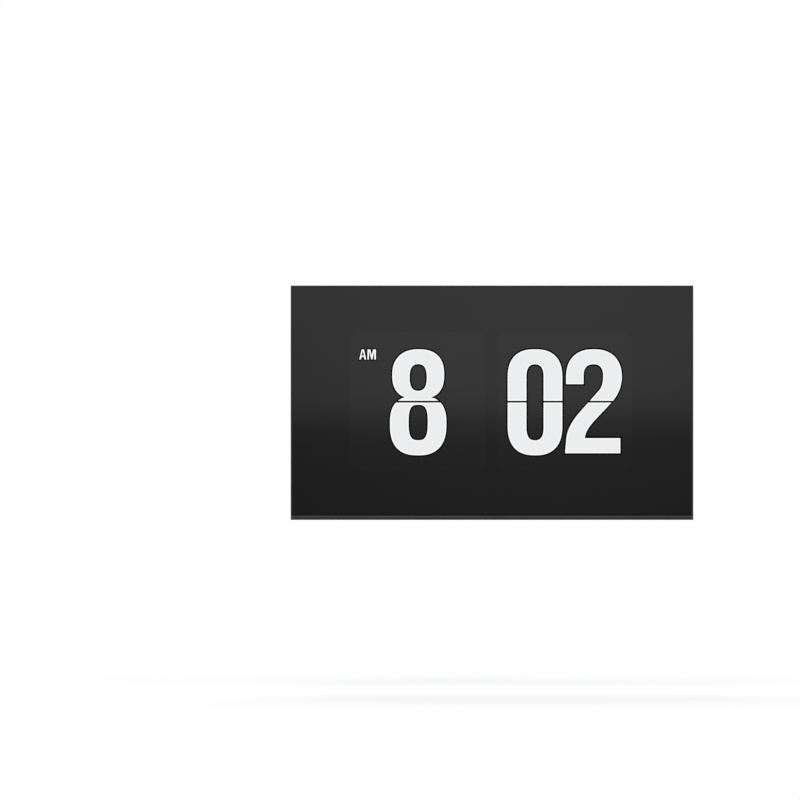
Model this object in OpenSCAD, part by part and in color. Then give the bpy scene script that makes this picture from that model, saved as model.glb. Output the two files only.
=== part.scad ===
// Flat-panel television of the 65-inch class, hung by the hole pattern on its back.
// X runs to the viewer's right, Y away from the viewer and Z up.
// The origin is the centre of the bracket holes, on the rear mounting face.

/* [Overall] */
// Width across the bezel
body_w = 1462; // [1400:1:1540]
// Height across the bezel
body_h = 851; // [820:1:900]
// Depth from the bezel's front to the rear mounting face
body_d = 60; // [58:0.5:70]
// Height of the bracket holes' centre above the lower edge
mount_rise = 370.5; // [366:0.5:385]

/* [Bezel and chin] */
// Width of the bezel's front lip at the sides and the top
lip_w = 5.5; // [5.4:0.1:8]
// Thickness of the front lip and of the chin
lip_t = 1.6; // [1.3:0.1:2.2]
// Thickness of the bezel's side walls
bezel_wall = 1.6; // [1.2:0.1:1.7]
// Depth of the bezel's side walls
bezel_depth = 14; // [13.5:0.1:17]
// Height of the chin under the picture
chin_h = 15.7; // [15.5:0.1:24]
// Height of the chin's ridge above its lower edge
chin_ridge = 10.4; // [6:0.1:13]
// How far the chin's edges fall back from its ridge
chin_bevel = 1; // [0.4:0.1:1.2]
// Number of clips behind the chin
chin_clips = 9; // [5:1:15]

/* [Screen stack] */
// Thickness of the foam gasket behind the lip
gasket_t = 0.6; // [0.4:0.1:1]
// Thickness of the liquid crystal cell with its polarisers
cell_t = 1.8; // [1.4:0.1:2.4]
// How far the cell reaches down behind the chin
cell_tuck = 6; // [5.8:0.1:8.5]
// Thickness of the middle frame's ledge
ledge_t = 1.2; // [0.8:0.1:1.6]
// Thickness of the middle frame's walls
frame_wall = 1; // [0.7:0.1:1.1]
// Thickness of each optical sheet
film_t = 0.4; // [0.3:0.05:0.6]
// Thickness of the light guide
guide_t = 3; // [2.4:0.1:3.6]
// Thickness of the reflector sheet
reflector_t = 0.4; // [0.3:0.05:0.6]
// Thickness of the light bar's strip
led_strip_t = 1.2; // [1:0.1:1.5]
// Height of each light
led_t = 1; // [0.8:0.1:1.2]
// Number of lights along the bar
led_count = 48; // [24:1:80]
// Thickness of the bar that carries heat away from the lights
spreader_t = 1.5; // [1:0.1:1.8]

/* [Back pan] */
// Thickness of the steel sheet
pan_t = 0.8; // [0.6:0.05:0.9]
// Room under the pan for the driver strips
driver_room = 7; // [6.5:0.1:7.2]
// How far the pressed panels rise from the sheet
press_rise = 3; // [2:0.1:3.4]
// Bare sheet left around each pressed panel
press_gap = 26; // [20:1:36]

/* [Wall mount] */
// Distance between bracket holes, across and up
mount_pitch = 300; // [280:1:320]
// Radius of the tapped hole in each post
thread_r = 2.5; // [2:0.1:3.3]
// Depth of the tapped hole
thread_depth = 18; // [12:0.5:24]
// Radius of each post
post_r = 9; // [7:0.1:11]
// Width of the web of each mounting rail
rail_w = 30; // [28:0.5:34]
// How far the rail's web stands off the pan
rail_h = 8; // [6:0.1:10]
// Sheet thickness of the rails
rail_t = 2; // [1.5:0.1:2.5]
// How far the rails run past the posts
rail_over = 42; // [30:1:48]

/* [Rear cover] */
// Distance from the power board's end to the side of the flat rear face
cover_side = 53; // [46:1:62]
// Height of the flat rear face above the upper bracket holes
cover_over = 30; // [24:1:60]
// Wall thickness
cover_wall = 2.5; // [2:0.1:3]
// Corner radius of the flat rear face
cover_corner = 26; // [16:1:40]
// How far the sides and the top spread towards the pan
cover_flare = 40; // [28:1:46]
// How far the lower wall spreads towards the pan
cover_draft = 8; // [4:0.5:10]
// Width of the screwed rim at the sides and the top
rim_w = 13; // [11:0.5:15]
// Width of the screwed rim at the bottom
rim_low = 19; // [17:0.5:22]
// Gap between the rim and the lower bezel wall
rim_gap = 2; // [1:0.1:3]
// Number of rim screws along the top
rim_screws = 6; // [4:1:9]
// Width of a vent slot
slot_w = 4; // [3:0.1:5]
// Length of a vent slot
slot_l = 26; // [20:1:30]
// Distance from one vent slot to the next
slot_pitch = 13; // [10:0.5:16]

/* [Sockets and trays] */
// Width of the tray around the signal sockets
tray_w = 236; // [228:1:250]
// Width of the tray around the mains inlet
mains_tray_w = 78; // [70:1:90]
// Height of both trays
tray_h = 62; // [56:1:66]
// Wall thickness of the trays
tray_wall = 2; // [1.5:0.1:2.5]
// Height of the trays above the speaker boxes
tray_lift = 8; // [6:0.5:12]
// Thickness of the lid over the mains inlet
lid_t = 2; // [1.6:0.1:2.4]

/* [Boards] */
// Thickness of the circuit boards
board_t = 1.6; // [1.2:0.1:2]
// Height of the boards above the pan
standoff_h = 7; // [6:0.1:8.5]
// Width of the main board
main_w = 270; // [262:1:285]
// Height of the main board
main_h = 180; // [165:1:195]
// Width of the power board
power_w = 290; // [280:1:305]
// Height of the power board
power_h = 190; // [180:1:205]
// Width of the timing board
timing_w = 180; // [160:1:200]
// Height of the timing board
timing_h = 56; // [50:1:64]

/* [Keys] */
// Travel of the two push keys
key_travel = 0.8; // [0.5:0.1:1.2]
// Radius of the push keys
key_r = 6; // [5:0.1:6.6]
// Width of the rocker keys
rocker_w = 11; // [9:0.1:12.4]
// Length of the rocker keys
rocker_l = 34; // [30:0.5:38]
// Distance from one key to the next
key_pitch = 40; // [39:0.5:46]
// Width of the key window
key_window_w = 26; // [25:0.5:29]

/* [Speakers] */
// Width of each speaker box
box_w = 160; // [140:1:170]
// Height of each speaker box
box_h = 46; // [42:0.5:50]
// Depth of each speaker box
box_d = 39; // [38:0.5:41]
// Wall thickness of the boxes
box_wall = 2; // [1.6:0.1:2.4]
// Radius of the moving cone
cone_r = 15; // [13:0.1:15.5]
// Travel of the cone to each side
cone_travel = 1.2; // [0.8:0.1:1.6]

/* [Hidden] */
$fn = 48;
// Overshoot of every cut
cut = 1;
// How far the parts of one piece run into each other
bond = 0.1;
// Clearance between pieces that slide into each other
fit = 0.3;
// Air between sheets that lie on each other
air = 0.1;

// Rectangles are [left, right, bottom, top]
function inset(r, side, bottom, top) = [r[0] + side, r[1] - side, r[2] + bottom, r[3] - top];
function grown(r, by) = inset(r, -by, -by, -by);
function mid_x(r) = (r[0] + r[1]) / 2;
function mid_z(r) = (r[2] + r[3]) / 2;
function span_x(r) = r[1] - r[0];
function span_z(r) = r[3] - r[2];

// A place inside a rectangle, as shares of its width and height
function on_x(r, share) = r[0] + share * span_x(r);
function on_z(r, share) = r[2] + share * span_z(r);

// Outlines from the bezel inwards
body = [-body_w / 2, body_w / 2, -mount_rise, body_h - mount_rise];
bezel_in = grown(body, -bezel_wall);
view = inset(body, lip_w, chin_h, lip_w);
cell_room = 1;
cell = inset(body, bezel_wall + cell_room, chin_h - cell_tuck, bezel_wall + cell_room);
pan = inset(bezel_in, fit, driver_room, fit);
pan_in = grown(pan, -pan_t);
middle = grown(pan_in, -fit);
guide_bottom = spreader_t + led_strip_t + led_t + fit;
film = inset(pan_in, fit + frame_wall + fit, guide_bottom, fit + frame_wall + fit);

// Depths from the front backwards
y_front = -body_d;
y_gasket = y_front + lip_t;
y_cell = y_gasket + gasket_t;
y_ledge = y_cell + cell_t;
y_prism = y_ledge + ledge_t + air;
y_diffuser = y_prism + film_t + air;
y_guide = y_diffuser + film_t + air;
y_reflector = y_guide + guide_t + air;
y_pan = y_reflector + reflector_t + air;
y_back = y_pan + pan_t;
y_bezel_end = y_front + bezel_depth;
y_board = y_back + standoff_h;
y_parts = y_board + board_t;
y_web = y_back + rail_h;
y_cover_in = -cover_wall;

// Boards stand beside the mounting rails
rail_x = mount_pitch / 2;
rail_foot = 12;
rail_edge = rail_x + rail_w / 2 + rail_foot;
board_x = rail_edge + 10;

// Rear cover outlines: flat face, foot of the slopes and outer rim
face_x = board_x + power_w + cover_side;
face = [
    -face_x,
    face_x,
    bezel_in[2] + rim_gap + rim_low + cover_draft,
    rail_x + cover_over
];
foot = inset(face, -cover_flare, -cover_draft, -cover_flare);
rim = inset(foot, -rim_w, -rim_low, -rim_w);
// Apron along the lower edge, over the driver strips
apron = [bezel_in[0] + rim_gap, bezel_in[1] - rim_gap, rim[2], foot[2]];
room = grown(face, -cover_wall);

// Speaker boxes stand in the lower corners, above the lower wall
box_gap = 6;
box_x = room[1] - box_gap - box_w / 2;
box_z = face[2] + cover_wall + box_gap;
box_top = box_z + box_h;

// Trays lie above the boxes, with the boards above the trays
tray_floor = y_back + 2 * air + tray_wall;
tray_z = box_top + tray_lift;
board_gap = 0.6;
board_z = tray_z + tray_h + tray_wall + board_gap;
main_board_area = [board_x, board_x + main_w, board_z, board_z + main_h];
power_board_area = [-board_x - power_w, -board_x, board_z, board_z + power_h];
timing_board_area = [-timing_w / 2, timing_w / 2, tray_z, tray_z + timing_h];
tray_margin = 12;
tray = [board_x + tray_margin, board_x + tray_margin + tray_w, tray_z, tray_z + tray_h];
mains_tray_area = [power_board_area[0] + tray_margin, power_board_area[0] + tray_margin + mains_tray_w,
    tray_z, tray_z + tray_h];
hole_inset = 8;
function board_holes(r, columns, low) = [for (i = [0 : columns - 1], z = [r[2] + low, r[3] - hole_inset])
    [r[0] + hole_inset + i * (span_x(r) - 2 * hole_inset) / (columns - 1), z]];
socket_clear = 31;
main_holes = board_holes(main_board_area, 3, socket_clear);
power_holes = board_holes(power_board_area, 3, hole_inset);
timing_holes = board_holes(timing_board_area, 2, timing_h / 2);
all_holes = concat(main_holes, power_holes, timing_holes);
screw_r = 1.5;

// Screw heads as [radius, thickness]
rail_head = [3.4, 1.8];
board_head = [3, 1.8];
cover_head = [3.6, 1.9];
standoff_r = 4.2;
standoff_floor = 1;

// Rim screws of the rear cover
rim_inset = 30;
rim_across = [for (i = [0 : rim_screws - 1]) foot[0] + rim_inset
    + i * (span_x(foot) - 2 * rim_inset) / (rim_screws - 1)];
rim_up = [for (i = [0 : 2]) foot[2] + (i + 1) * span_z(foot) / 4];
rim_points = concat(
    [for (x = rim_across) [x, foot[3] + rim_w / 2]],
    [for (x = rim_across) [x, foot[2] - rim_w / 2]],
    [for (x = [apron[0] + rim_inset, apron[1] - rim_inset]) [x, foot[2] - rim_w / 2]],
    [for (z = rim_up) [foot[0] - rim_w / 2, z]],
    [for (z = rim_up) [foot[1] + rim_w / 2, z]]
);

// Mounting rails
rail_end = rail_x + rail_over;
spigot_r = post_r * 0.55;
post_flange = [post_r + 3, 3];
dish_r = post_r + 8;
dish_t = 0.8;
post_points = [for (x = [-rail_x, rail_x], z = [-rail_x, rail_x]) [x, z]];
rail_screw_inset = 12;
rail_screw_z = rail_end - rail_screw_inset;
rail_points = [for (x = [-rail_x, rail_x], s = [-1, 1], z = [-rail_screw_z, rail_screw_z])
    [x + s * (rail_w + rail_foot) / 2, z]];

// Sockets in a row along the lower edge of the main board, as [width, depth, length]
aerial_size = [15, 13, 22];
network_size = [16.5, 13.5, 21];
optical_size = [10.5, 10, 13];
usb_size = [14.5, 7.2, 17];
hdmi_size = [15.2, 6.4, 13];
phones_size = [10, 8.5, 13];
inlet_size = [24, 16, 26];
mouth_rise = 0.6;
z_mouth = tray[3] - mouth_rise;
aerial_inset = 20;
network_step = 28;
optical_step = 26;
usb_step = 24;
usb_pitch = 22;
hdmi_step = 26;
hdmi_pitch = 24;
phones_step = 22;
aerial_x = tray[0] + aerial_inset;
network_x = aerial_x + network_step;
optical_x = network_x + optical_step;
usb_x = [optical_x + usb_step, optical_x + usb_step + usb_pitch];
hdmi_x = [for (i = [0 : 2]) usb_x[1] + hdmi_step + i * hdmi_pitch];
phones_x = hdmi_x[2] + phones_step;
inlet_x = mid_x(mains_tray_area);
socket_skin = 0.7;
hdmi_depth = 10;
hdmi_tongue = [10.8, 1.2, 9];
hdmi_slant = 1.9;
usb_depth = 13;
usb_tongue = [11.2, 1.9, 12];
tongue_back = 1.5;
network_mouth = [11.8, 8.2, 15];
network_latch = [6.2, 3, 12];
network_low = 3.2;
optical_mouth = [7.6, 7.6, 5];
optical_light_r = 1.2;
optical_light_l = 9;
phones_r = 1.8;
phones_depth = 11;
barrel_r = 4.7;
barrel_l = 9;
barrel_bore_r = 1.4;
barrel_bore = 17;
inlet_pole = 4.3;
inlet_mouth_r = 4.1;
inlet_depth = 12;
inlet_pin_r = 1.2;
inlet_pin_l = 11;
inlet_pin_back = 2;

// Keys
key_x = face[1] - 40;
key_z = 20;
power_key_z = key_z + 1.5 * key_pitch;
volume_z = key_z + 0.5 * key_pitch;
channel_z = key_z - 0.5 * key_pitch;
input_key_z = key_z - 1.5 * key_pitch;
window_h = 4 * key_pitch - 16;
key_window = [key_x - key_window_w / 2, key_x + key_window_w / 2, key_z - window_h / 2, key_z + window_h / 2];
escutcheon_t = 2;
escutcheon_edge = 5;
y_escutcheon = y_cover_in - escutcheon_t;
key_face = y_cover_in + 1.6;
key_gap = 0.3;
y_pivot = y_escutcheon - 3.2;
axle_r = 1;
axle_play = 0.06;
lug_t = 2.5;
lug_gap = 0.4;
rocker_gap = 0.8;
y_key_board = y_escutcheon - 9;
switch_t = 3.4;
switch_pip = 0.7;
y_switch = y_key_board + switch_t + switch_pip;
rocker_press = 11;
key_post_r = 3;
key_post_z = 1.14 * key_pitch;

// Speakers
pad_t = 1;
y_box = y_back + pad_t;
box_areas = [for (s = [-1, 1]) [s * box_x - box_w / 2, s * box_x + box_w / 2, box_z, box_top]];
y_driver = y_box + box_d / 2;
driver_rim = cone_r + 4;
coil_r = 7;
coil_t = 0.4;
coil_gap = 0.5;
cone_t = 0.6;

// Panel connections
film_count = 12;
film_w = 34;
film_start = 0.18;
strip_l = body_w * 0.42;
strip_inner = body_w * 0.03;
strip_t = 1;
strip_z = pan[2] - fit - strip_t;
strip_y = [y_ledge + 1.5, y_back - fit];
strip_chips = 6;
strip_chip = [12, 2, 0.8];
strip_chip_back = 1.4;
film_lap = 1.2;
foil_t = 0.3;
ribbon_w = 30;
ribbon_x = 60;
ribbon_turn = 5;
ribbon_lap = 2;
ribbon_rise = 2.5;
ribbon_plug = [ribbon_w + 4, 6, ribbon_rise - foil_t];
ribbon_reach = 11;

// Clips behind the chin
clip_w = 24;
clip_t = 1.2;
clip_l = 4;
clip_inset = 60;

// Receiver window in the lower bezel wall, with its board
eye_w = 26;
eye_d = 4;
eye_flange = 2;
eye_flange_t = 1;
eye_edge = 1;
y_eye = y_gasket + clip_l + fit + eye_edge;
eye_board_over = 8;
eye_board_t = 0.8;
eye_hole_r = 1;
eye_hole_x = eye_w / 2 + 5;
sensor_size = [7, 3, 3];
sensor_x = -2.5;
lamp_size = [4, 3, 2.4];
lamp_x = 8;

// Light bar
led_w = 4;
led_edge = 0.4;
led_inset = 30;
bar_inset = 10;
spreader_inset = 4;

// Parts on the boards, as [width, height, thickness] or [radius, height]
chip_size = [38, 38, 3];
chip_x = on_x(main_board_area, 0.56);
chip_z = on_z(main_board_area, 0.6);
memory_size = [14, 10, 1.4];
memory_pitch = 36;
memory_step = 48;
tuner_size = [52, 34, 11];
can_size = [4, 9];
can_pitch = 14;
inductor_size = [12, 12, 5.6];
inductor_pitch = 18;
buffer_size = [8, 5, 1.3];
buffer_pitch = 15;
gate_size = [10, 8, 1.6];
gate_pitch = 16;
sink_side = 64;
sink_base = 3;
sink_fin = 13;
sink_fins = 10;
fin_t = 1.6;
filter_size = [20, 30, 16];
fuse_size = [12, 22, 10];
reservoir_size = [6, 18];
reservoir_pitch = 17;
relay_size = [14, 14, 12];
relay_pitch = 24;
choke_r = 9;
choke_wire_r = 5.5;
choke_foot = [30, 5, 6];
bobbin_foot = [40, 46, 5];
bobbin_size = [32, 26, 22];
core_size = [46, 40, 21];
core_leg = 8;
core_rise = 3;
core_window = [30, 8];
transformer_pitch = 56;
mains_can = [11, 30];
mains_can_end = [9.5, 1];
mains_can_pitch = 27;
power_fin = [10, 2, 24];
power_fins = 5;
power_fin_pitch = 12;
power_sink = [3, 56, 28];
power_sink_pitch = 62;

// Lead and flat cable that cross the rails
lead_z = on_z(main_board_area, 0.72);
lead_r = 2.6;
lead_rise = 6;
lead_sag = 14;
lead_plug = [14, 30, 2 * lead_rise];
lead_x = board_x + lead_plug[0];
lead_sides = 10;
lead_steps = 20;
cable_w = 14;
cable_rise = 3.2;
cable_clear = 34;
cable_z = main_board_area[2] + cable_clear;
cable_plug = [8, 18, cable_rise];
cable_plug_x = main_board_area[0] + 22;
cable_low = [20, 6, cable_rise];
cable_low_x = timing_board_area[1] - 32;
cable_low_z = timing_board_area[3] - 8;
timer_size = [22, 22, 1.8];
timing_chip = [8, 6, 1.4];
timing_chip_pitch = 14;

// Folded shield over the timing board
shield_gap = 5;
shield_t = 0.8;
shield_rise = 8;
shield_slot = [4, 30];
shield_slots = 11;
shield_pitch = 13;

// Radio module near the top of the cover
radio_drop = 96;
radio_board = [62, 30, 1.4];
radio_foot = [5, 20, 4];
radio_foot_x = 26;
radio_can = [34, 22, 3];
radio_can_x = -6;
radio_plug = [8, 14, 4];
radio_plug_x = 24;

// Keys and the parts behind them
switch_side = 6;
switch_pip_r = 1.7;
key_board_edge = 4;
key_hole_x = 7;
pivot_lug_h = 6;
pivot_lug_over = 2.6;
key_flange = [key_r + 1.5, 1.2];
key_stem_r = 2;
key_mark_t = 0.3;
rocker_hub = [5, 1.8];
rocker_stem_r = 1.8;
rocker_back = 1.6;
rocker_dent = [rocker_w * 0.7, 2];
rocker_dent_t = 0.5;

// Speaker profiles, as heights above the box's lower face
driver_lip = 2;
driver_room_r = 2.4;
magnet_r = coil_r + 7;
magnet_low = 11;
magnet_high = 20;
neck_high = 5;
pole_clear = 2.2;
pole_low = neck_high + cone_t + cone_travel + pole_clear;
coil_high = 13;
coil_clear = 2.8;
gap_high = coil_high + cone_travel + coil_clear;
dome_high = 2.4;
edge_low = -1;
roll_t = 0.8;
roll_w = 3;
pad_w = 22;

// Vents and cut-outs of the rear cover
vent_inset = 70;
vent_top = face[3] - 30;
vent_mid = main_board_area[3] - 40;
vent_margin = 30;
wall_slot_l = 18;
wall_slots = 5;
rim_corner = cover_corner + 10;
ribbon_gap = 2;

// Trays and lid
tray_lip = 3;
tray_lip_t = 1.5;
lid_step = 4;
lead_notch = 16;
grip_w = 26;
grip_h = 5;
grip_t = 0.8;
grip_drop = 12;

module plate(r, y0, y1) {
    translate([r[0], y0, r[2]]) cube([span_x(r), y1 - y0, span_z(r)]);
}

module block(x, z, w, h, y0, t) {
    translate([x - w / 2, y0, z - h / 2]) cube([w, t, h]);
}

module ring(outer, inner, y0, y1) {
    difference() {
        plate(outer, y0, y1);
        plate(inner, y0 - cut, y1 + cut);
    }
}

module rod(x, z, y0, y1, r) {
    translate([x, y0, z]) rotate([-90, 0, 0]) cylinder(r = r, h = y1 - y0);
}

// A profile drawn as [depth, height] and run along X
module run_x(x0, x1) {
    translate([x0, 0, 0]) rotate([90, 0, 90]) linear_extrude(x1 - x0) children();
}

// Four rods at the corners of an outline, for a rounded shell
module corner_rods(r, y0, y1, radius) {
    for (x = [r[0] + radius, r[1] - radius], z = [r[2] + radius, r[3] - radius])
        rod(x, z, y0, y1, radius, $fn = 32);
}

// A shallow pressed panel whose sides rise at 45 degrees
module pressed(r, y0, rise) {
    intersection() {
        translate([0, 0, r[2]]) linear_extrude(span_z(r))
            polygon([[r[0], y0], [r[0] + rise, y0 + rise], [r[1] - rise, y0 + rise], [r[1], y0]]);
        run_x(r[0], r[1])
            polygon([[y0, r[2]], [y0 + rise, r[2] + rise], [y0 + rise, r[3] - rise], [y0, r[3]]]);
    }
}

// A slab with round corners
module round_plate(r, y0, y1, radius) {
    plate(inset(r, radius, 0, 0), y0, y1);
    plate(inset(r, 0, radius, radius), y0, y1);
    corner_rods(r, y0, y1, radius);
}

// A cross-headed screw: head is [radius, thickness]
module screw(x, z, y_seat, head, shank_r, length) {
    cross_l = head[0] * 1.1;
    cross_w = head[0] * 0.26;
    difference() {
        union() {
            rod(x, z, y_seat, y_seat + head[1], head[0]);
            rod(x, z, y_seat - length, y_seat + bond, shank_r);
        }
        block(x, z, cross_l, cross_w, y_seat + head[1] / 2, head[1]);
        block(x, z, cross_w, cross_l, y_seat + head[1] / 2, head[1]);
    }
}

// A part as [width, height, thickness] that stands on its board
module component(x, z, size) {
    block(x, z, size[0], size[1], y_parts - bond, size[2] + bond);
}

// A round part as [radius, height] that stands on its board
module can(x, z, size) {
    rod(x, z, y_parts - bond, y_parts + size[1], size[0]);
}

module bezel_frame() {
    color("#2b2e34") difference() {
        plate(body, y_front, y_bezel_end);
        plate(bezel_in, y_gasket, y_bezel_end + cut);
        plate(inset(body, lip_w, chin_h - cut, lip_w), y_front - cut, y_gasket + cut);
        plate([bezel_in[0], bezel_in[1], body[2] - cut, body[2] + chin_h], y_front - cut, y_gasket);
        translate([-eye_w / 2 - fit, y_eye - fit, body[2] - cut])
            cube([eye_w + 2 * fit, eye_d + 2 * fit, bezel_wall + 2 * cut]);
    }
}

module chin_trim() {
    chin_end = bezel_in[1] - fit;
    clip_step = (span_x(bezel_in) - 2 * clip_inset) / (chin_clips - 1);
    color("#34373c") {
        run_x(-chin_end, chin_end) polygon([
            [y_gasket, body[2]],
            [y_front + chin_bevel, body[2]],
            [y_front, body[2] + chin_ridge],
            [y_front + chin_bevel, body[2] + chin_h],
            [y_gasket, body[2] + chin_h]
        ]);
        for (i = [0 : chin_clips - 1])
            block(bezel_in[0] + clip_inset + i * clip_step, bezel_in[2] + fit + clip_t / 2, clip_w, clip_t,
                y_gasket - chin_bevel / 2, chin_bevel / 2 + clip_l);
    }
}

module remote_window() {
    color("#1a0c10") {
        translate([-eye_w / 2, y_eye, body[2]]) cube([eye_w, eye_d, bezel_wall + eye_flange_t]);
        translate([-eye_w / 2 - eye_flange, y_eye - eye_edge, bezel_in[2]])
            cube([eye_w + 2 * eye_flange, eye_d + 2 * eye_edge, eye_flange_t]);
    }
}

module remote_board() {
    board = [eye_w + 2 * eye_board_over, eye_d + 2 * eye_edge, eye_board_t];
    y_mid = y_eye + eye_d / 2;
    z0 = bezel_in[2] + eye_flange_t;
    color("#1f5a38") difference() {
        union() {
            translate([-board[0] / 2, y_mid - board[1] / 2, z0]) cube(board);
            translate([sensor_x - sensor_size[0] / 2, y_mid - sensor_size[1] / 2, z0]) cube(sensor_size);
            translate([lamp_x - lamp_size[0] / 2, y_mid - lamp_size[1] / 2, z0]) cube(lamp_size);
        }
        for (s = [-1, 1])
            translate([s * eye_hole_x, y_mid, z0 - cut]) cylinder(r = eye_hole_r, h = eye_board_t + 2 * cut);
    }
}

module panel_gasket() {
    color("#15161a") ring(grown(cell, -fit), grown(view, 2 * fit), y_gasket, y_cell);
}

module lcd_cell() {
    color("#33363a") plate(cell, y_cell, y_ledge);
}

module middle_frame() {
    walled = inset(middle, frame_wall, -cut, frame_wall);
    color("#1b1c1f") {
        ring(middle, grown(view, fit), y_ledge, y_ledge + ledge_t);
        difference() {
            plate(middle, y_ledge, y_pan - air);
            plate(walled, y_ledge - cut, y_pan);
        }
    }
}

module prism_sheet() {
    color("#cfd6dc") plate(film, y_prism, y_prism + film_t);
}

module diffuser_sheet() {
    color("#eef0f0") plate(film, y_diffuser, y_diffuser + film_t);
}

module light_guide() {
    color("#dfeaf0") plate(film, y_guide, y_guide + guide_t);
}

module reflector_sheet() {
    color("#f6f6f4") plate(film, y_reflector, y_reflector + reflector_t);
}

module led_heat_spreader() {
    bar = [middle[0] + spreader_inset, middle[1] - spreader_inset, pan_in[2], pan_in[2] + spreader_t];
    color("#b9bcc0") plate(bar, y_prism, y_pan);
}

module led_bar() {
    z0 = pan_in[2] + spreader_t;
    step = (span_x(film) - 2 * led_inset) / (led_count - 1);
    color("#f0ecd8") {
        plate([film[0] + bar_inset, film[1] - bar_inset, z0, z0 + led_strip_t], y_guide, y_reflector);
        for (i = [0 : led_count - 1])
            translate([film[0] + led_inset - led_w / 2 + i * step, y_guide + led_edge, z0 + led_strip_t - bond])
                cube([led_w, guide_t - 2 * led_edge, led_t + bond]);
    }
}

// Pressed panels stand in the bare sheet above and beside the rear cover
module pan_panels(y0, rise, by) {
    low = rim[3] + press_gap;
    high = pan[3] - press_gap;
    wide = (span_x(pan) - 5 * press_gap) / 4;
    for (i = [0 : 3]) {
        x0 = pan[0] + press_gap + i * (wide + press_gap);
        pressed(grown([x0, x0 + wide, low, high], -by), y0, rise);
    }
    side = [rim[1] + press_gap, pan[1] - press_gap];
    tall = (rim[3] - pan[2] - 2 * press_gap) / 2;
    for (i = [0, 1]) {
        z0 = pan[2] + press_gap + i * (tall + press_gap);
        pressed(grown([side[0], side[1], z0, z0 + tall], -by), y0, rise);
        pressed(grown([-side[1], -side[0], z0, z0 + tall], -by), y0, rise);
    }
}

module back_pan() {
    color("#3a3d41") difference() {
        union() {
            plate(pan, y_pan, y_back);
            ring(pan, pan_in, y_ledge + fit, y_back);
            pan_panels(y_back - 0.01, press_rise, 0);
        }
        pan_panels(y_pan - 0.01, press_rise, pan_t / 2);
        for (p = rim_points) rod(p[0], p[1], y_pan - cut, y_back + cut, screw_r);
        for (p = rail_points) rod(p[0], p[1], y_pan - cut, y_back + cut, screw_r);
    }
}

module source_boards() {
    color("#20543a") for (s = [-1, 1]) {
        x0 = s < 0 ? -strip_inner - strip_l : strip_inner;
        translate([x0, strip_y[0], strip_z]) cube([strip_l, strip_y[1] - strip_y[0], strip_t]);
        for (i = [0 : strip_chips - 1])
            translate([x0 + (i + 0.5) * strip_l / strip_chips - strip_chip[0] / 2, strip_y[0] + strip_chip_back,
                strip_z - strip_chip[2]]) cube([strip_chip[0], strip_chip[1], strip_chip[2] + bond]);
    }
}

// Flexible strips from the lower edge of the cell round to the source boards
module driver_films() {
    step = strip_l / (film_count / 2);
    y_fold = y_cell + cell_t / 2;
    color("#8a5a24") for (s = [-1, 1], i = [0 : film_count / 2 - 1]) {
        x = s * (strip_inner + (i + film_start) * step + film_w / 2);
        translate([x - film_w / 2, y_fold, strip_z - foil_t]) {
            cube([film_w, foil_t, cell[2] - strip_z + foil_t]);
            cube([film_w, strip_y[0] + film_lap - y_fold, foil_t]);
        }
    }
}

// Flat ribbons from the source boards, under the cover's rim, to the timing board
module panel_ribbons() {
    y_up = y_back + air;
    y_over = y_parts + ribbon_rise;
    y_low = strip_y[1] - ribbon_lap;
    z_low = strip_z - foil_t;
    z_up = timing_board_area[2] - ribbon_turn;
    color("#d8d5c8") for (s = [-1, 1]) {
        x0 = s * ribbon_x - ribbon_w / 2;
        translate([x0, y_low, z_low]) cube([ribbon_w, y_up + foil_t - y_low, foil_t]);
        translate([x0, y_up, z_low]) cube([ribbon_w, foil_t, z_up - z_low]);
        translate([x0, y_up, z_up - foil_t]) cube([ribbon_w, y_over - y_up, foil_t]);
        translate([x0, y_over - foil_t, z_up - foil_t]) cube([ribbon_w, foil_t, ribbon_reach + foil_t]);
    }
}

module mount_rails() {
    color("#8f9296") difference() {
        for (x = [-rail_x, rail_x]) {
            plate([x - rail_w / 2, x + rail_w / 2, -rail_end, rail_end], y_web - rail_t, y_web);
            for (s = [-1, 1]) {
                inner = x + s * (rail_w / 2 - rail_t);
                outer = x + s * rail_w / 2;
                edge = x + s * (rail_w / 2 + rail_foot);
                plate([min(inner, outer), max(inner, outer), -rail_end, rail_end], y_back, y_web);
                plate([min(inner, edge), max(inner, edge), -rail_end, rail_end], y_back, y_back + rail_t);
            }
        }
        for (p = post_points) rod(p[0], p[1], y_web - rail_t - cut, y_web + cut, spigot_r + air);
        for (p = rail_points) rod(p[0], p[1], y_back - cut, y_back + rail_t + cut, screw_r + fit);
    }
}

module mount_posts() {
    color("#c0c3c6") difference() {
        for (p = post_points) {
            rod(p[0], p[1], y_web - rail_t, y_web + cut, spigot_r);
            rod(p[0], p[1], y_web, y_web + post_flange[1], post_flange[0]);
            rod(p[0], p[1], y_web, 0, post_r);
        }
        for (p = post_points) rod(p[0], p[1], -thread_depth, cut, thread_r);
    }
}

module rail_screws() {
    color("#a9acb0") for (p = rail_points)
        screw(p[0], p[1], y_back + rail_t, rail_head, screw_r - air, rail_t + pan_t - air);
}

module board_standoffs() {
    color("#b7b49a") difference() {
        for (p = all_holes) rod(p[0], p[1], y_back, y_board, standoff_r, $fn = 6);
        for (p = all_holes) rod(p[0], p[1], y_back + standoff_floor, y_board + cut, screw_r);
    }
}

module board_screws() {
    color("#b4b6ba") for (p = all_holes)
        screw(p[0], p[1], y_parts, board_head, screw_r - air, board_t + standoff_h - 2 * standoff_floor);
}

module bare_board(area, holes) {
    difference() {
        plate(area, y_board, y_parts);
        for (p = holes) rod(p[0], p[1], y_board - cut, y_parts + cut, screw_r + fit);
    }
}

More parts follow.
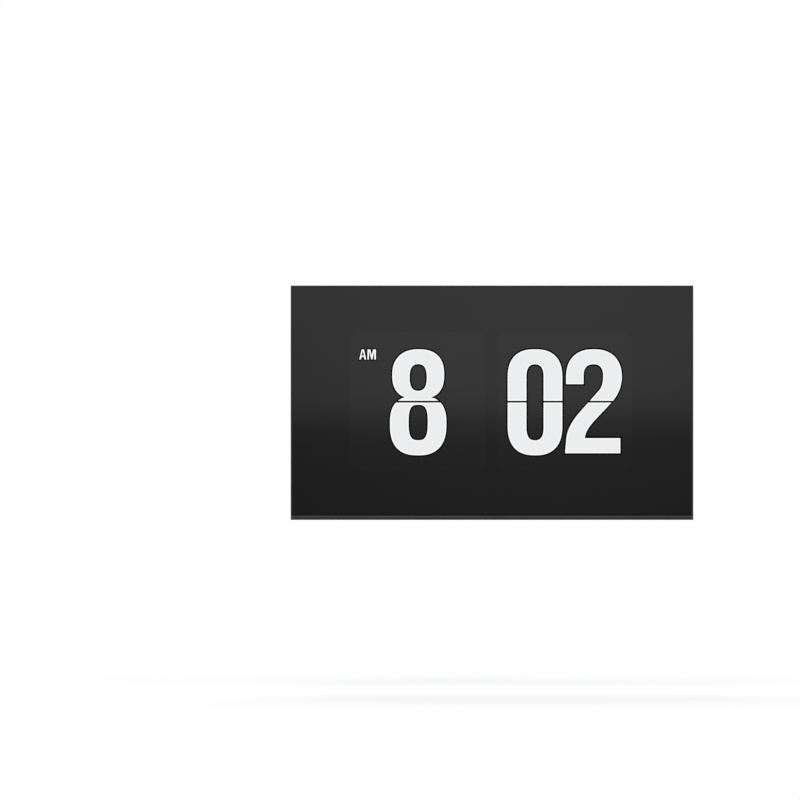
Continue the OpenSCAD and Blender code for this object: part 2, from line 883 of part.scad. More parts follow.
module main_board() {
    a = main_board_area;
    color("#1d5c3c") {
        bare_board(a, main_holes);
        component(chip_x, chip_z, chip_size);
        for (i = [0 : 3]) component(chip_x + (i - 1.5) * memory_pitch, chip_z + memory_step, memory_size);
        component(on_x(a, 0.155), on_z(a, 0.37), tuner_size);
        component(lead_x - lead_plug[0] / 2, lead_z, lead_plug);
        component(cable_plug_x, cable_z, cable_plug);
        for (i = [0 : 5]) can(on_x(a, 0.15), on_z(a, 0.53) + i * can_pitch, can_size);
        for (i = [0 : 3]) component(on_x(a, 0.24), on_z(a, 0.53) + i * inductor_pitch, inductor_size);
        for (i = [0 : 7]) component(usb_x[0] + i * buffer_pitch, on_z(a, 0.23), buffer_size);
        for (i = [0 : 4]) component(on_x(a, 0.93), on_z(a, 0.37) + i * gate_pitch, gate_size);
    }
}

// Comb profile of the fins, run along the sink's height
module processor_heat_sink() {
    y0 = y_parts + chip_size[2];
    step = (sink_side - fin_t) / (sink_fins - 1);
    color("#9a9da1") translate([chip_x - sink_side / 2, y0, chip_z - sink_side / 2]) {
        cube([sink_side, sink_base, sink_side]);
        for (i = [0 : sink_fins - 1])
            translate([i * step, 0, 0]) cube([fin_t, sink_base + sink_fin, sink_side]);
    }
}

// A socket body on the board with its mouth turned down into the tray
module socket_body(x, size) {
    translate([x - size[0] / 2, y_parts, z_mouth]) cube([size[0], size[1], size[2]]);
}

module socket_cut(x, size, wall, depth) {
    translate([x - size[0] / 2 + wall, y_parts + wall, z_mouth - cut])
        cube([size[0] - 2 * wall, size[1] - 2 * wall, depth + cut]);
}

// Folded shell with its lower corners cut back, drawn as [across, depth]
module hdmi_outline(x, by) {
    half = hdmi_size[0] / 2 - by;
    low = y_parts + by;
    high = y_parts + hdmi_size[1] - by;
    polygon([
        [x - half + hdmi_slant, low],
        [x + half - hdmi_slant, low],
        [x + half, low + hdmi_slant],
        [x + half, high],
        [x - half, high],
        [x - half, low + hdmi_slant]
    ]);
}

module hdmi_sockets() {
    y_tongue = y_parts + (hdmi_size[1] - hdmi_tongue[1]) / 2;
    color("#c9cbce") for (x = hdmi_x) {
        difference() {
            translate([0, 0, z_mouth]) linear_extrude(hdmi_size[2]) hdmi_outline(x, 0);
            translate([0, 0, z_mouth - cut]) linear_extrude(hdmi_depth + cut) hdmi_outline(x, socket_skin);
        }
        translate([x - hdmi_tongue[0] / 2, y_tongue, z_mouth + tongue_back]) cube(hdmi_tongue);
    }
}

module usb_sockets() {
    color("#c4c6ca") for (x = usb_x) {
        difference() {
            socket_body(x, usb_size);
            socket_cut(x, usb_size, socket_skin, usb_depth);
        }
        translate([x - usb_tongue[0] / 2, y_parts + 2 * socket_skin, z_mouth + tongue_back]) cube(usb_tongue);
    }
}

module network_socket() {
    y0 = y_parts + network_low;
    color("#c6c8cb") difference() {
        socket_body(network_x, network_size);
        translate([network_x - network_mouth[0] / 2, y0, z_mouth - cut])
            cube([network_mouth[0], network_mouth[1], network_mouth[2] + cut]);
        translate([network_x - network_latch[0] / 2, y0 - network_latch[1] + cut, z_mouth - cut])
            cube([network_latch[0], network_latch[1], network_latch[2] + cut]);
    }
}

module optical_socket() {
    y0 = y_parts + optical_size[1] / 2;
    color("#1d1e20") difference() {
        socket_body(optical_x, optical_size);
        translate([optical_x - optical_mouth[0] / 2, y0 - optical_mouth[1] / 2, z_mouth - cut])
            cube([optical_mouth[0], optical_mouth[1], optical_mouth[2] + cut]);
        translate([optical_x, y0, z_mouth]) cylinder(r = optical_light_r, h = optical_light_l);
    }
}

module headphone_socket() {
    color("#202124") difference() {
        socket_body(phones_x, phones_size);
        translate([phones_x, y_parts + phones_size[1] / 2, z_mouth - cut])
            cylinder(r = phones_r, h = phones_depth + cut);
    }
}

module aerial_socket() {
    y0 = y_parts + aerial_size[1] / 2;
    color("#c2b28a") difference() {
        union() {
            socket_body(aerial_x, aerial_size);
            translate([aerial_x, y0, z_mouth - barrel_l]) cylinder(r = barrel_r, h = barrel_l + cut);
        }
        translate([aerial_x, y0, z_mouth - barrel_l - cut]) cylinder(r = barrel_bore_r, h = barrel_bore + cut);
    }
}

module timing_board() {
    a = timing_board_area;
    color("#1f5d45") {
        bare_board(a, timing_holes);
        for (s = [-1, 1]) component(s * ribbon_x, a[2] + ribbon_turn, ribbon_plug);
        component(cable_low_x, cable_low_z, cable_low);
        component(mid_x(a), mid_z(a), timer_size);
        for (i = [0 : 3]) component(on_x(a, 0.17) + i * timing_chip_pitch, on_z(a, 0.64), timing_chip);
    }
}

// Folded sheet cover over the timing board, notched for the ribbons and the flat cable
module timing_shield() {
    outer = grown(timing_board_area, shield_gap);
    y_top = y_parts + shield_rise;
    notch = cable_w / 2 + shield_gap;
    color("#a7aaae") difference() {
        plate(outer, y_back, y_top);
        plate(grown(outer, -shield_t), y_back - cut, y_top - shield_t);
        for (x = [-ribbon_x, ribbon_x])
            plate([x - ribbon_w / 2 - cut, x + ribbon_w / 2 + cut, outer[2] - cut, outer[2] + cut],
                y_back - cut, y_parts + cable_rise);
        plate([cable_low_x - notch, cable_low_x + notch, outer[3] - cut, outer[3] + cut],
            y_parts, y_parts + 2 * cable_rise);
        for (i = [0 : shield_slots - 1])
            block((i - (shield_slots - 1) / 2) * shield_pitch, mid_z(outer), shield_slot[0], shield_slot[1],
                y_top - shield_t - cut, shield_t + 2 * cut);
    }
}

// Flat cable from the timing board across the rail to the main board
module timing_ribbon() {
    y0 = y_parts + cable_rise;
    x0 = cable_low_x - cable_w / 2;
    x1 = cable_plug_x + cable_plug[0] / 2;
    z0 = cable_low_z - cable_low[1] / 2;
    color("#d9d6ca") {
        plate([x0, x0 + cable_w, z0, cable_z + cable_w / 2], y0, y0 + foil_t);
        plate([x0, x1, cable_z - cable_w / 2, cable_z + cable_w / 2], y0, y0 + foil_t);
    }
}

module power_board() {
    a = power_board_area;
    choke_x = on_x(a, 0.27);
    choke_z = on_z(a, 0.18);
    color("#a98246") {
        bare_board(a, power_holes);
        component(-lead_x + lead_plug[0] / 2, lead_z, lead_plug);
        component(on_x(a, 0.09), on_z(a, 0.32), filter_size);
        component(on_x(a, 0.09), on_z(a, 0.53), fuse_size);
        for (i = [0 : 4]) can(on_x(a, 0.85), on_z(a, 0.12) + i * reservoir_pitch, reservoir_size);
        for (i = [0 : 2]) component(on_x(a, 0.74), on_z(a, 0.14) + i * relay_pitch, relay_size);
        component(choke_x, choke_z, choke_foot);
        translate([choke_x, y_parts + choke_foot[2], choke_z]) rotate([-90, 0, 0]) rotate_extrude()
            translate([choke_r, 0]) circle(choke_wire_r);
    }
}

// Wound bobbins, each inside a core with two windows
module power_transformers() {
    a = power_board_area;
    z = on_z(a, 0.63);
    window_z = core_size[1] / 2 - core_leg - core_window[1] / 2;
    color("#3b342c") for (i = [0, 1]) {
        x = on_x(a, 0.565) + i * transformer_pitch;
        block(x, z, bobbin_foot[0], bobbin_foot[1], y_parts, bobbin_foot[2]);
        block(x, z, bobbin_size[0], bobbin_size[1], y_parts, bobbin_size[2]);
        difference() {
            block(x, z, core_size[0], core_size[1], y_parts + core_rise, core_size[2]);
            for (s = [-1, 1])
                block(x, z + s * window_z, core_window[0], core_window[1], y_parts - cut,
                    core_rise + core_size[2] + 2 * cut);
        }
    }
}

module mains_capacitors() {
    a = power_board_area;
    z = on_z(a, 0.75);
    color("#1b2a44") for (i = [0 : 2]) {
        x = on_x(a, 0.255) + i * mains_can_pitch;
        rod(x, z, y_parts, y_parts + mains_can[1], mains_can[0]);
        rod(x, z, y_parts + mains_can[1] - bond, y_parts + mains_can[1] + mains_can_end[1], mains_can_end[0]);
    }
}

module power_heat_sinks() {
    a = power_board_area;
    z = on_z(a, 0.32);
    color("#a2a5a9") for (i = [0, 1]) {
        x = on_x(a, 0.42) + i * power_sink_pitch;
        block(x, z, power_sink[0], power_sink[1], y_parts, power_sink[2]);
        for (j = [0 : power_fins - 1])
            block(x + power_fin[0] / 2, z + (j - (power_fins - 1) / 2) * power_fin_pitch,
                power_fin[0], power_fin[1], y_parts + power_sink[2] - power_fin[2], power_fin[2]);
    }
}

// Two-pole mains inlet with a figure-of-eight mouth
module mains_inlet() {
    y0 = y_parts + inlet_size[1] / 2;
    waist = inlet_mouth_r * 0.8;
    color("#18191b") difference() {
        socket_body(inlet_x, inlet_size);
        for (s = [-1, 1])
            translate([inlet_x + s * inlet_pole, y0, z_mouth - cut])
                cylinder(r = inlet_mouth_r, h = inlet_depth + cut);
        translate([inlet_x - inlet_pole, y0 - waist, z_mouth - cut])
            cube([2 * inlet_pole, 2 * waist, inlet_depth + cut]);
    }
    color("#c8b26a") for (s = [-1, 1])
        translate([inlet_x + s * inlet_pole, y0, z_mouth + inlet_pin_back])
            cylinder(r = inlet_pin_r, h = inlet_pin_l);
}

// Bundled lead from the power board over the rails to the main board
module power_lead() {
    half = board_x;
    y0 = y_parts + lead_rise;
    points = [for (i = [0 : lead_steps], j = [0 : lead_sides - 1])
        let (x = half * (2 * i / lead_steps - 1), z = lead_z - lead_sag * (1 - pow(x / half, 2)))
        [x, y0 + lead_r * cos(j * 360 / lead_sides), z + lead_r * sin(j * 360 / lead_sides)]];
    sides = [for (i = [0 : lead_steps - 1], j = [0 : lead_sides - 1])
        let (k = (j + 1) % lead_sides)
        [i * lead_sides + j, i * lead_sides + k, (i + 1) * lead_sides + k, (i + 1) * lead_sides + j]];
    first = [for (j = [0 : lead_sides - 1]) lead_sides - 1 - j];
    last = [for (j = [0 : lead_sides - 1]) lead_steps * lead_sides + j];
    color("#b02a24") polyhedron(points, concat([first], sides, [last]));
}

module radio_module() {
    z = face[3] - radio_drop;
    y0 = y_back + radio_foot[2];
    y1 = y0 + radio_board[2];
    color("#24503a") {
        block(0, z, radio_board[0], radio_board[1], y0, radio_board[2]);
        for (s = [-1, 1])
            block(s * radio_foot_x, z, radio_foot[0], radio_foot[1], y_back, radio_foot[2] + bond);
        block(radio_can_x, z, radio_can[0], radio_can[1], y1 - bond, radio_can[2]);
        block(radio_plug_x, z, radio_plug[0], radio_plug[1], y1 - bond, radio_plug[2]);
    }
}

module key_board() {
    hole_z = window_h / 2 - key_board_edge;
    color("#1e5a3a") difference() {
        union() {
            block(key_x, key_z, key_window_w - key_board_edge, window_h, y_key_board - board_t, board_t);
            for (z = [power_key_z, input_key_z]) key_switch(z);
            for (z = [volume_z, channel_z], s = [-1, 1]) key_switch(z + s * rocker_press);
        }
        for (s = [-1, 1])
            rod(key_x + s * key_hole_x, key_z - s * hole_z, y_key_board - board_t - cut,
                y_key_board + cut, screw_r);
    }
}

module key_switch(z) {
    block(key_x, z, switch_side, switch_side, y_key_board - bond, switch_t + bond);
    rod(key_x, z, y_key_board, y_switch, switch_pip_r);
}

function rocker_area(z) = [key_x - rocker_w / 2, key_x + rocker_w / 2, z - rocker_l / 2, z + rocker_l / 2];

module key_escutcheon() {
    lug_x = rocker_w / 2 + lug_gap;
    color("#1c1d20") difference() {
        union() {
            plate(grown(key_window, escutcheon_edge), y_escutcheon, y_cover_in);
            for (s = [-1, 1])
                rod(key_x, key_z + s * key_post_z, y_key_board, y_escutcheon + bond, key_post_r);
            for (z = [volume_z, channel_z], s = [-1, 1])
                block(key_x + s * (lug_x + lug_t / 2), z, lug_t, pivot_lug_h, y_pivot - pivot_lug_over,
                    y_escutcheon - y_pivot + pivot_lug_over + bond);
        }
        for (z = [power_key_z, input_key_z])
            rod(key_x, z, y_escutcheon - cut, y_cover_in + cut, key_r + key_gap);
        for (z = [volume_z, channel_z]) {
            plate(inset(rocker_area(z), -key_gap, -rocker_gap, -rocker_gap), y_escutcheon - cut,
                y_cover_in + cut);
            translate([key_x - lug_x - lug_t - cut, y_pivot, z]) rotate([0, 90, 0])
                cylinder(r = axle_r + axle_play, h = 2 * (lug_x + lug_t + cut));
        }
    }
}

module push_key(z) {
    y_flange = y_escutcheon - key_gap;
    rod(key_x, z, y_flange - bond, key_face, key_r);
    rod(key_x, z, y_flange - key_flange[1], y_flange, key_flange[0]);
    rod(key_x, z, y_switch + key_travel + air, y_flange - bond, key_stem_r);
}

module power_key() {
    color("#2c2d31") difference() {
        push_key(power_key_z);
        rod(key_x, power_key_z, key_face - key_mark_t, key_face + cut, key_r * 0.55);
    }
}

module input_key() {
    color("#2c2d31") difference() {
        push_key(input_key_z);
        block(key_x, input_key_z, key_r, key_r, key_face - key_mark_t, cut);
    }
}

module rocker_key(z) {
    lug_x = rocker_w / 2 + lug_gap;
    y_body = y_escutcheon - rocker_back;
    y_hub = y_pivot - rocker_hub[1];
    difference() {
        union() {
            plate(rocker_area(z), y_body, key_face);
            block(key_x, z, rocker_w, rocker_hub[0], y_hub, y_body - y_hub + bond);
            translate([key_x - lug_x - lug_t, y_pivot, z]) rotate([0, 90, 0])
                cylinder(r = axle_r, h = 2 * (lug_x + lug_t));
            for (s = [-1, 1])
                rod(key_x, z + s * rocker_press, y_switch + key_travel + air, y_body + bond, rocker_stem_r);
        }
        block(key_x, z, rocker_dent[0], rocker_dent[1], key_face - rocker_dent_t, cut);
    }
}

module volume_rocker() {
    color("#2c2d31") rocker_key(volume_z);
}

module channel_rocker() {
    color("#2c2d31") rocker_key(channel_z);
}

module speaker_box(i) {
    a = box_areas[i];
    color("#191a1c") difference() {
        plate(a, y_box, y_box + box_d);
        plate(grown(a, -box_wall), y_box + box_wall, y_box + box_d - box_wall);
        translate([mid_x(a), y_driver, box_z - cut])
            cylinder(r = cone_r + driver_room_r, h = box_wall + 2 * cut);
    }
}

module speaker_box_left() {
    speaker_box(0);
}

module speaker_box_right() {
    speaker_box(1);
}

// Basket, magnet and pole piece, drawn as [radius, height above the box's lower face]
module speaker_driver(i) {
    pole_r = coil_r - coil_t - coil_gap;
    gap_r = coil_r + coil_gap;
    color("#5a5d61") translate([mid_x(box_areas[i]), y_driver, box_z]) rotate_extrude() {
        polygon([
            [cone_r + fit, -driver_lip], [driver_rim, -driver_lip], [driver_rim, 0], [cone_r + driver_lip, 0],
            [magnet_r, magnet_low], [magnet_r, magnet_high], [0, magnet_high], [0, pole_low],
            [pole_r, pole_low], [pole_r, gap_high], [gap_r, gap_high],
            [gap_r, magnet_low], [magnet_r - driver_lip, magnet_low], [cone_r + fit, driver_lip / 4]
        ]);
    }
}

module speaker_driver_left() {
    speaker_driver(0);
}

module speaker_driver_right() {
    speaker_driver(1);
}

// Dome, cone, rolled edge and coil, drawn as [radius, height above the box's lower face]
module speaker_cone(i) {
    coil_in = coil_r - coil_t;
    dome_r = coil_r * 0.43;
    dome_edge = dome_high + roll_t / 2;
    edge_r = cone_r - roll_w;
    roll_r = cone_r - roll_w / 2;
    color("#26272a") translate([mid_x(box_areas[i]), y_driver, box_z]) rotate_extrude() {
        polygon([
            [0, dome_high], [dome_r, dome_edge], [coil_in, neck_high], [edge_r, edge_low],
            [roll_r, edge_low - roll_t], [cone_r, edge_low], [cone_r, edge_low + cone_t],
            [roll_r, edge_low - roll_t + cone_t], [edge_r, edge_low + cone_t], [coil_r, neck_high + cone_t],
            [coil_r, coil_high], [coil_in, coil_high], [coil_in, neck_high + cone_t],
            [dome_r, dome_edge + cone_t], [0, dome_high + cone_t]
        ]);
    }
}

module speaker_cone_left() {
    speaker_cone(0);
}

module speaker_cone_right() {
    speaker_cone(1);
}

module speaker_pads() {
    color("#2a2a2c") for (a = box_areas, s = [-1, 1])
        block(mid_x(a) + s * box_w * 0.36, mid_z(a), pad_w, box_h * 0.7, y_back, pad_t);
}

module cover_shell(f, e, y_face, y_edge, radius) {
    hull() {
        corner_rods(f, y_face - 0.2, y_face, radius);
        corner_rods(e, y_edge, y_edge + 0.2, radius + 10);
    }
}

function clear_of_posts(x) = abs(abs(x) - rail_x) > dish_r + slot_w;

// A slot with round ends, cut through the flat rear face
module vent_slot(x, z) {
    straight = slot_l - slot_w;
    block(x, z, slot_w, straight, y_cover_in - cut, cover_wall + 2 * cut);
    for (s = [-1, 1]) rod(x, z + s * straight / 2, y_cover_in - cut, cut, slot_w / 2);
}

module vent_row(x0, x1, z) {
    count = floor((x1 - x0) / slot_pitch);
    start = (x0 + x1 - count * slot_pitch) / 2;
    for (i = [0 : count]) {
        x = start + i * slot_pitch;
        if (clear_of_posts(x)) vent_slot(x, z);
    }
}

// Slots in the lower wall, under a speaker
module sound_slots(x) {
    first = x - slot_w / 2 - slot_pitch * (wall_slots - 1) / 2;
    for (i = [0 : wall_slots - 1])
        translate([first + i * slot_pitch, y_driver - wall_slot_l / 2, foot[2] - cut])
            cube([slot_w, wall_slot_l, cover_draft + cover_wall + 2 * cut]);
}

module rear_cover() {
    room_foot = grown(foot, -cover_wall);
    color("#17181a") difference() {
        union() {
            cover_shell(face, foot, 0, y_back, cover_corner);
            round_plate(rim, y_back, y_back + cover_wall, rim_corner);
            plate(apron, y_back, y_back + cover_wall);
        }
        cover_shell(room, room_foot, y_cover_in, y_back - cut, cover_corner - cover_wall);
        for (p = post_points) {
            rod(p[0], p[1], y_cover_in - cut, cut, post_r + fit);
            rod(p[0], p[1], -dish_t, cut, dish_r);
        }
        plate(tray, y_cover_in - cut, cut);
        plate(mains_tray_area, y_cover_in - cut, cut);
        plate(key_window, y_cover_in - cut, cut);
        vent_row(face[0] + vent_inset, face[1] - vent_inset, vent_top);
        vent_row(main_board_area[0] + vent_margin, main_board_area[1] - vent_margin, vent_mid);
        vent_row(power_board_area[0] + vent_margin, power_board_area[1] - vent_margin, vent_mid);
        vent_row(timing_board_area[0], timing_board_area[1], mid_z(timing_board_area));
        for (s = [-1, 1]) sound_slots(s * box_x);
        for (p = rim_points) rod(p[0], p[1], y_back - cut, y_back + cover_wall + cut, screw_r + fit);
        for (x = [-ribbon_x, ribbon_x])
            plate([x - ribbon_w / 2 - ribbon_gap, x + ribbon_w / 2 + ribbon_gap, rim[2] - cut,
                foot[2] + cover_wall + ribbon_gap], y_back - cut, y_back + cut);
    }
}

module cover_screws() {
    color("#3c3e42") for (p = rim_points)
        screw(p[0], p[1], y_back + cover_wall, cover_head, screw_r - air, cover_wall + pan_t - air);
}

module tray_shell(a) {
    outer = grown(a, tray_wall);
    difference() {
        union() {
            plate(outer, tray_floor - tray_wall, y_cover_in);
            plate(grown(a, tray_wall + tray_lip), y_cover_in - tray_lip_t, y_cover_in);
        }
        plate(a, tray_floor, y_cover_in + cut);
    }
}

// Opening in a tray's upper wall for one socket
module tray_cut(x, size) {
    translate([x - size[0] / 2 - fit, y_parts - fit, z_mouth])
        cube([size[0] + 2 * fit, size[1] + 2 * fit, mouth_rise + tray_wall + cut]);
}

module terminal_tray() {
    color("#1a1b1d") difference() {
        tray_shell(tray);
        tray_cut(aerial_x, aerial_size);
        tray_cut(network_x, network_size);
        tray_cut(optical_x, optical_size);
        for (x = usb_x) tray_cut(x, usb_size);
        for (x = hdmi_x) tray_cut(x, hdmi_size);
        tray_cut(phones_x, phones_size);
    }
}

module mains_tray() {
    a = mains_tray_area;
    color("#1a1b1d") difference() {
        union() {
            tray_shell(a);
            for (x = [a[0], a[1] - lid_step], z = [a[2], a[3] - lid_step])
                plate([x, x + lid_step, z, z + lid_step], tray_floor - bond, -lid_t - air);
        }
        tray_cut(inlet_x, inlet_size);
    }
}

// Lid with a notch for the lead and a finger grip
module mains_cover() {
    a = grown(mains_tray_area, -fit);
    color("#1b1c1e") difference() {
        plate(a, -lid_t, 0);
        block(mid_x(a), a[2], lead_notch, lead_notch, -lid_t - cut, lid_t + 2 * cut);
        block(mid_x(a), a[3] - grip_drop, grip_w, grip_h, -grip_t, cut);
    }
}

bezel_frame();
chin_trim();
remote_window();
remote_board();
panel_gasket();
lcd_cell();
middle_frame();
prism_sheet();
diffuser_sheet();
light_guide();
reflector_sheet();
led_heat_spreader();
led_bar();
back_pan();
source_boards();
driver_films();
panel_ribbons();
mount_rails();
mount_posts();
rail_screws();
board_standoffs();
board_screws();
main_board();
processor_heat_sink();
hdmi_sockets();
usb_sockets();
network_socket();
optical_socket();
headphone_socket();
aerial_socket();
timing_board();
timing_shield();
timing_ribbon();
power_board();
power_transformers();
mains_capacitors();
power_heat_sinks();
mains_inlet();
power_lead();
radio_module();
key_board();
key_escutcheon();
power_key();
input_key();
volume_rocker();
channel_rocker();
speaker_box_left();
speaker_box_right();
speaker_driver_left();
speaker_driver_right();
speaker_cone_left();
speaker_cone_right();
speaker_pads();
rear_cover();
cover_screws();
terminal_tray();
mains_tray();
mains_cover();
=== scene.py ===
"""A wall-hung television whose screen shows a flip clock: its finishes, its picture and its studio."""

import math

import bpy
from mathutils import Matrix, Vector
from mathutils.geometry import delaunay_2d_cdt


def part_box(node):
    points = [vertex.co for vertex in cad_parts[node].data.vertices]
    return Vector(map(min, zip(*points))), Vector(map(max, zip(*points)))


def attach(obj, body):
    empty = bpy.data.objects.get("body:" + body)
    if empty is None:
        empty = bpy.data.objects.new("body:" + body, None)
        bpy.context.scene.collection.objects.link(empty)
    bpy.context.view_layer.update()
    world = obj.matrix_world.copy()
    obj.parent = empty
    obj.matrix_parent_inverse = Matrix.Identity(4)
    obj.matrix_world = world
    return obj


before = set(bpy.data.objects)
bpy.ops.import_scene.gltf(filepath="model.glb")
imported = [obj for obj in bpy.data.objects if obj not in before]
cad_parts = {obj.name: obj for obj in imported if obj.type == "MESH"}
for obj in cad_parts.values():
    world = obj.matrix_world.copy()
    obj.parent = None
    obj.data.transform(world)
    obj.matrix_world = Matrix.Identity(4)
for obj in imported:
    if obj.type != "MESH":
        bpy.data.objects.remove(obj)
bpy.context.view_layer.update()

bl_info = {
    "name": "Flip clock television",
    "version": (1, 0, 0),
    "blender": (4, 5, 0),
    "location": "View3D > Sidebar > Television",
    "description": "Dresses a wall-hung television whose screen shows a flip clock",
    "category": "Object",
}

MM = 0.001
SET_BODY = "set"
# Width of the bezel's front lip, which hides the edge of the cell.
LIP_WIDTH = 5.5 * MM
SCREEN_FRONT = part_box("lcd_cell")[0][1]
CHIN_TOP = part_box("chin_trim")[1][2]
BODY_LOW, BODY_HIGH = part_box("bezel_frame")
SET_MIDDLE = (BODY_LOW[2] + BODY_HIGH[2]) / 2

WHITE = (1.0, 1.0, 1.0, 1.0)
# Noise seldom leaves this band, so the lightest and darkest tones of a finish lie at its ends.
NOISE_LOW, NOISE_HIGH = 0.3, 0.7
# Sizes of the slow unevenness over a finish's grain and in the screen's light.
CLOUD_MM = 111
GLOW_CLOUD_MM = 167
# How far the roughness of a finish sways about its middle value.
GLOSS_SWAY = 0.06


def linear(colour):
    """An sRGB hex colour as the linear red, green and blue that shaders take."""
    parts = [int(colour[i:i + 2], 16) / 255 for i in (1, 3, 5)]
    return tuple(p / 12.92 if p <= 0.04045 else ((p + 0.055) / 1.055) ** 2.4 for p in parts)


def length(label, text, mm):
    """A size in millimetres as a length property."""
    return bpy.props.FloatProperty(
        name=label, description=text, default=mm * MM, unit="LENGTH", precision=4)


def paint(label, text, colour):
    """A colour property with a hex default."""
    return bpy.props.FloatVectorProperty(
        name=label, description=text, default=linear(colour), subtype="COLOR", min=0, max=1)


def amount(label, text, value):
    """A plain number as a property."""
    return bpy.props.FloatProperty(name=label, description=text, default=value, min=0, precision=4)


class ClockPicture(bpy.types.PropertyGroup):
    """Layout and light of the clock on the screen."""

    across: length("Across", "Middle of the clock to the right of the screen's middle", -2.6)
    above: length("Above", "Split of the cards above the middle of the set", 4.2)
    layer: length("Layer", "Thickness in which each layer of the picture is drawn", 0.12)
    border: length("Border", "Width of the dark border of the picture at the sides and the top", 0.8)
    # Above the chin the dark border is partly the cell's unlit edge and partly painted shade of the gap over
    # the chin.
    border_low_and_shade: length("Lower border", "Width of the dark border above the chin", 5.7)

    card_width: length("Card width", "Width of each number card", 491.5)
    card_height: length("Card height", "Height of each number card", 502)
    card_gap: length("Card gap", "Gap between the hour card and the minute card", 40.3)
    card_corner: length("Card corner", "Corner radius of the cards", 35)
    card_split: length("Card split", "Height of the split between a card's halves", 2.2)

    cap: length("Numeral top", "Top of the numerals above their middle line", 190.4)
    base: length("Numeral base", "Base of the numerals below their middle line", 195.8)
    split: length("Split", "Height of the split across the numerals", 5.2)
    split_drop: length("Split drop", "Middle of the split below the numerals' middle line", 0.55)
    pair: length("Pair spacing", "Distance between the two minute numerals", 213)
    inward: length("Numerals inward", "Numerals' shift from their cards' middles towards the gap", 0.55)
    trim: length("Trim", "How far a lit figure lies inside its drawn outline", 0.7)
    edge: length("Numeral edge", "Width of the dark line round each numeral", 5.6)
    rim: length("Numeral rim", "Width of the bright line inside each numeral's edge", 3.75)

    mark_in: length("Mark inward", "Mark of the half of the day from the hour card's left side", 31.9)
    mark_up: length("Mark up", "Base of that mark above the split of the cards", 152)
    mark_cap: length("Mark height", "Height of that mark's letters", 37.8)
    mark_edge: length("Mark edge", "Width of the dark line round that mark", 3.4)

    field_high: paint("Field, upper", "Screen colour above the cards", "#373737")
    field_low: paint("Field, lower", "Screen colour below the cards", "#1e1e1e")
    numeral: paint("Numerals", "Colour of the numerals", "#ecedee")
    card_gain: amount("Card gain", "Light of the cards against the field", 1.09)
    fade_middle: length("Fade middle", "Height of the light's steepest fall above the set's middle", -48)
    fade_length: length("Fade length", "Height over which the light falls most", 59)
    brightest: length("Brightest", "Brightest column to the right of the screen's middle", 150)
    side_fall: amount("Side fall", "Share of the light lost one metre from that column", 0.176)
    veil: amount("Veil", "Studio light thrown back by the screen's face, taken off its own", 0.0102)


class SetFinish(bpy.types.PropertyGroup):
    """Colours and edges of the set's surfaces, with a painted highlight and painted shade on the chin."""

    bezel: paint("Bezel", "Anodised bezel", "#36393e")
    chin: paint("Chin", "Brushed chin bar", "#33363a")
    # The bright slope is a painted highlight: a lighter colour where the chin's ridge catches the light.
    painted_highlight_cut: length("Bright cut", "Height from the chin's top to the foot of its bright slope", 5.3)
    bright: paint("Bright slope", "Chin's slope, cut after anodising", "#3f3f3f")
    # The dark upper edge is painted shade: a near-black colour where the chin meets the gap under the
    # picture.
    painted_shade_edge: length("Dark edge", "Height of the chin's upper edge above its bright slope", 0.62)
    edge: paint("Upper edge", "Chin's upper edge, which stays dark", "#0c0c0c")
    cover: paint("Rear cover", "Moulded rear cover", "#222427")
    pan: paint("Back pan", "Coated steel sheet", "#2e3135")
    soft_edge: length("Soft edge", "Radius on the visible edges of metal and moulded pieces", 0.35)


class StudioSetup(bpy.types.PropertyGroup):
    """Camera, floor and light."""

    distance: length("Distance", "Camera to the front of the set", 25000)
    frame_width: length("Frame width", "Width that the picture takes in at the front of the set", 2905)
    aim_left: length("Aim left", "How far the camera's axis passes left of the set's middle", 334)
    aim_up: length("Aim up", "How far the camera's axis passes above the set's middle", 9.8)
    floor_drop: length("Floor drop", "Floor below the set's lower edge", 620)
    floor: paint("Floor", "Pale matt floor", "#efefee")
    sky: paint("Soft light", "Even light from all around", "#f9fcff")
    sky_strength: amount("Soft light strength", "Strength of the even light", 0.45)
    lamp_power: bpy.props.FloatProperty(
        name="Lamp power", description="Power of the main lamp", default=102, min=0, unit="POWER")


def put(tree, kind, inputs=(), **settings):
    """Adds one node with its settings; inputs pair a socket with a value or with another socket."""
    item = tree.nodes.new("ShaderNode" + kind)
    for name, value in settings.items():
        setattr(item, name, value)
    for socket, value in inputs:
        if isinstance(value, bpy.types.NodeSocket):
            tree.links.new(value, item.inputs[socket])
        else:
            item.inputs[socket].default_value = value
    return item


def shade(colour, gain=1.0):
    """A colour made lighter or darker, as the four values that a socket takes."""
    return tuple(min(1.0, c * gain) for c in colour[:3]) + (1.0,)


def blank(name, **sockets):
    """A new material with its shader's plain values set, and the place on the object in metres."""
    material = bpy.data.materials.new(name)
    material.use_nodes = True
    tree = material.node_tree
    shader = tree.nodes["Principled BSDF"]
    for socket, value in sockets.items():
        shader.inputs[socket.replace("_", " ")].default_value = value
    place = put(tree, "TexCoord").outputs["Object"]
    return material, tree, shader, place


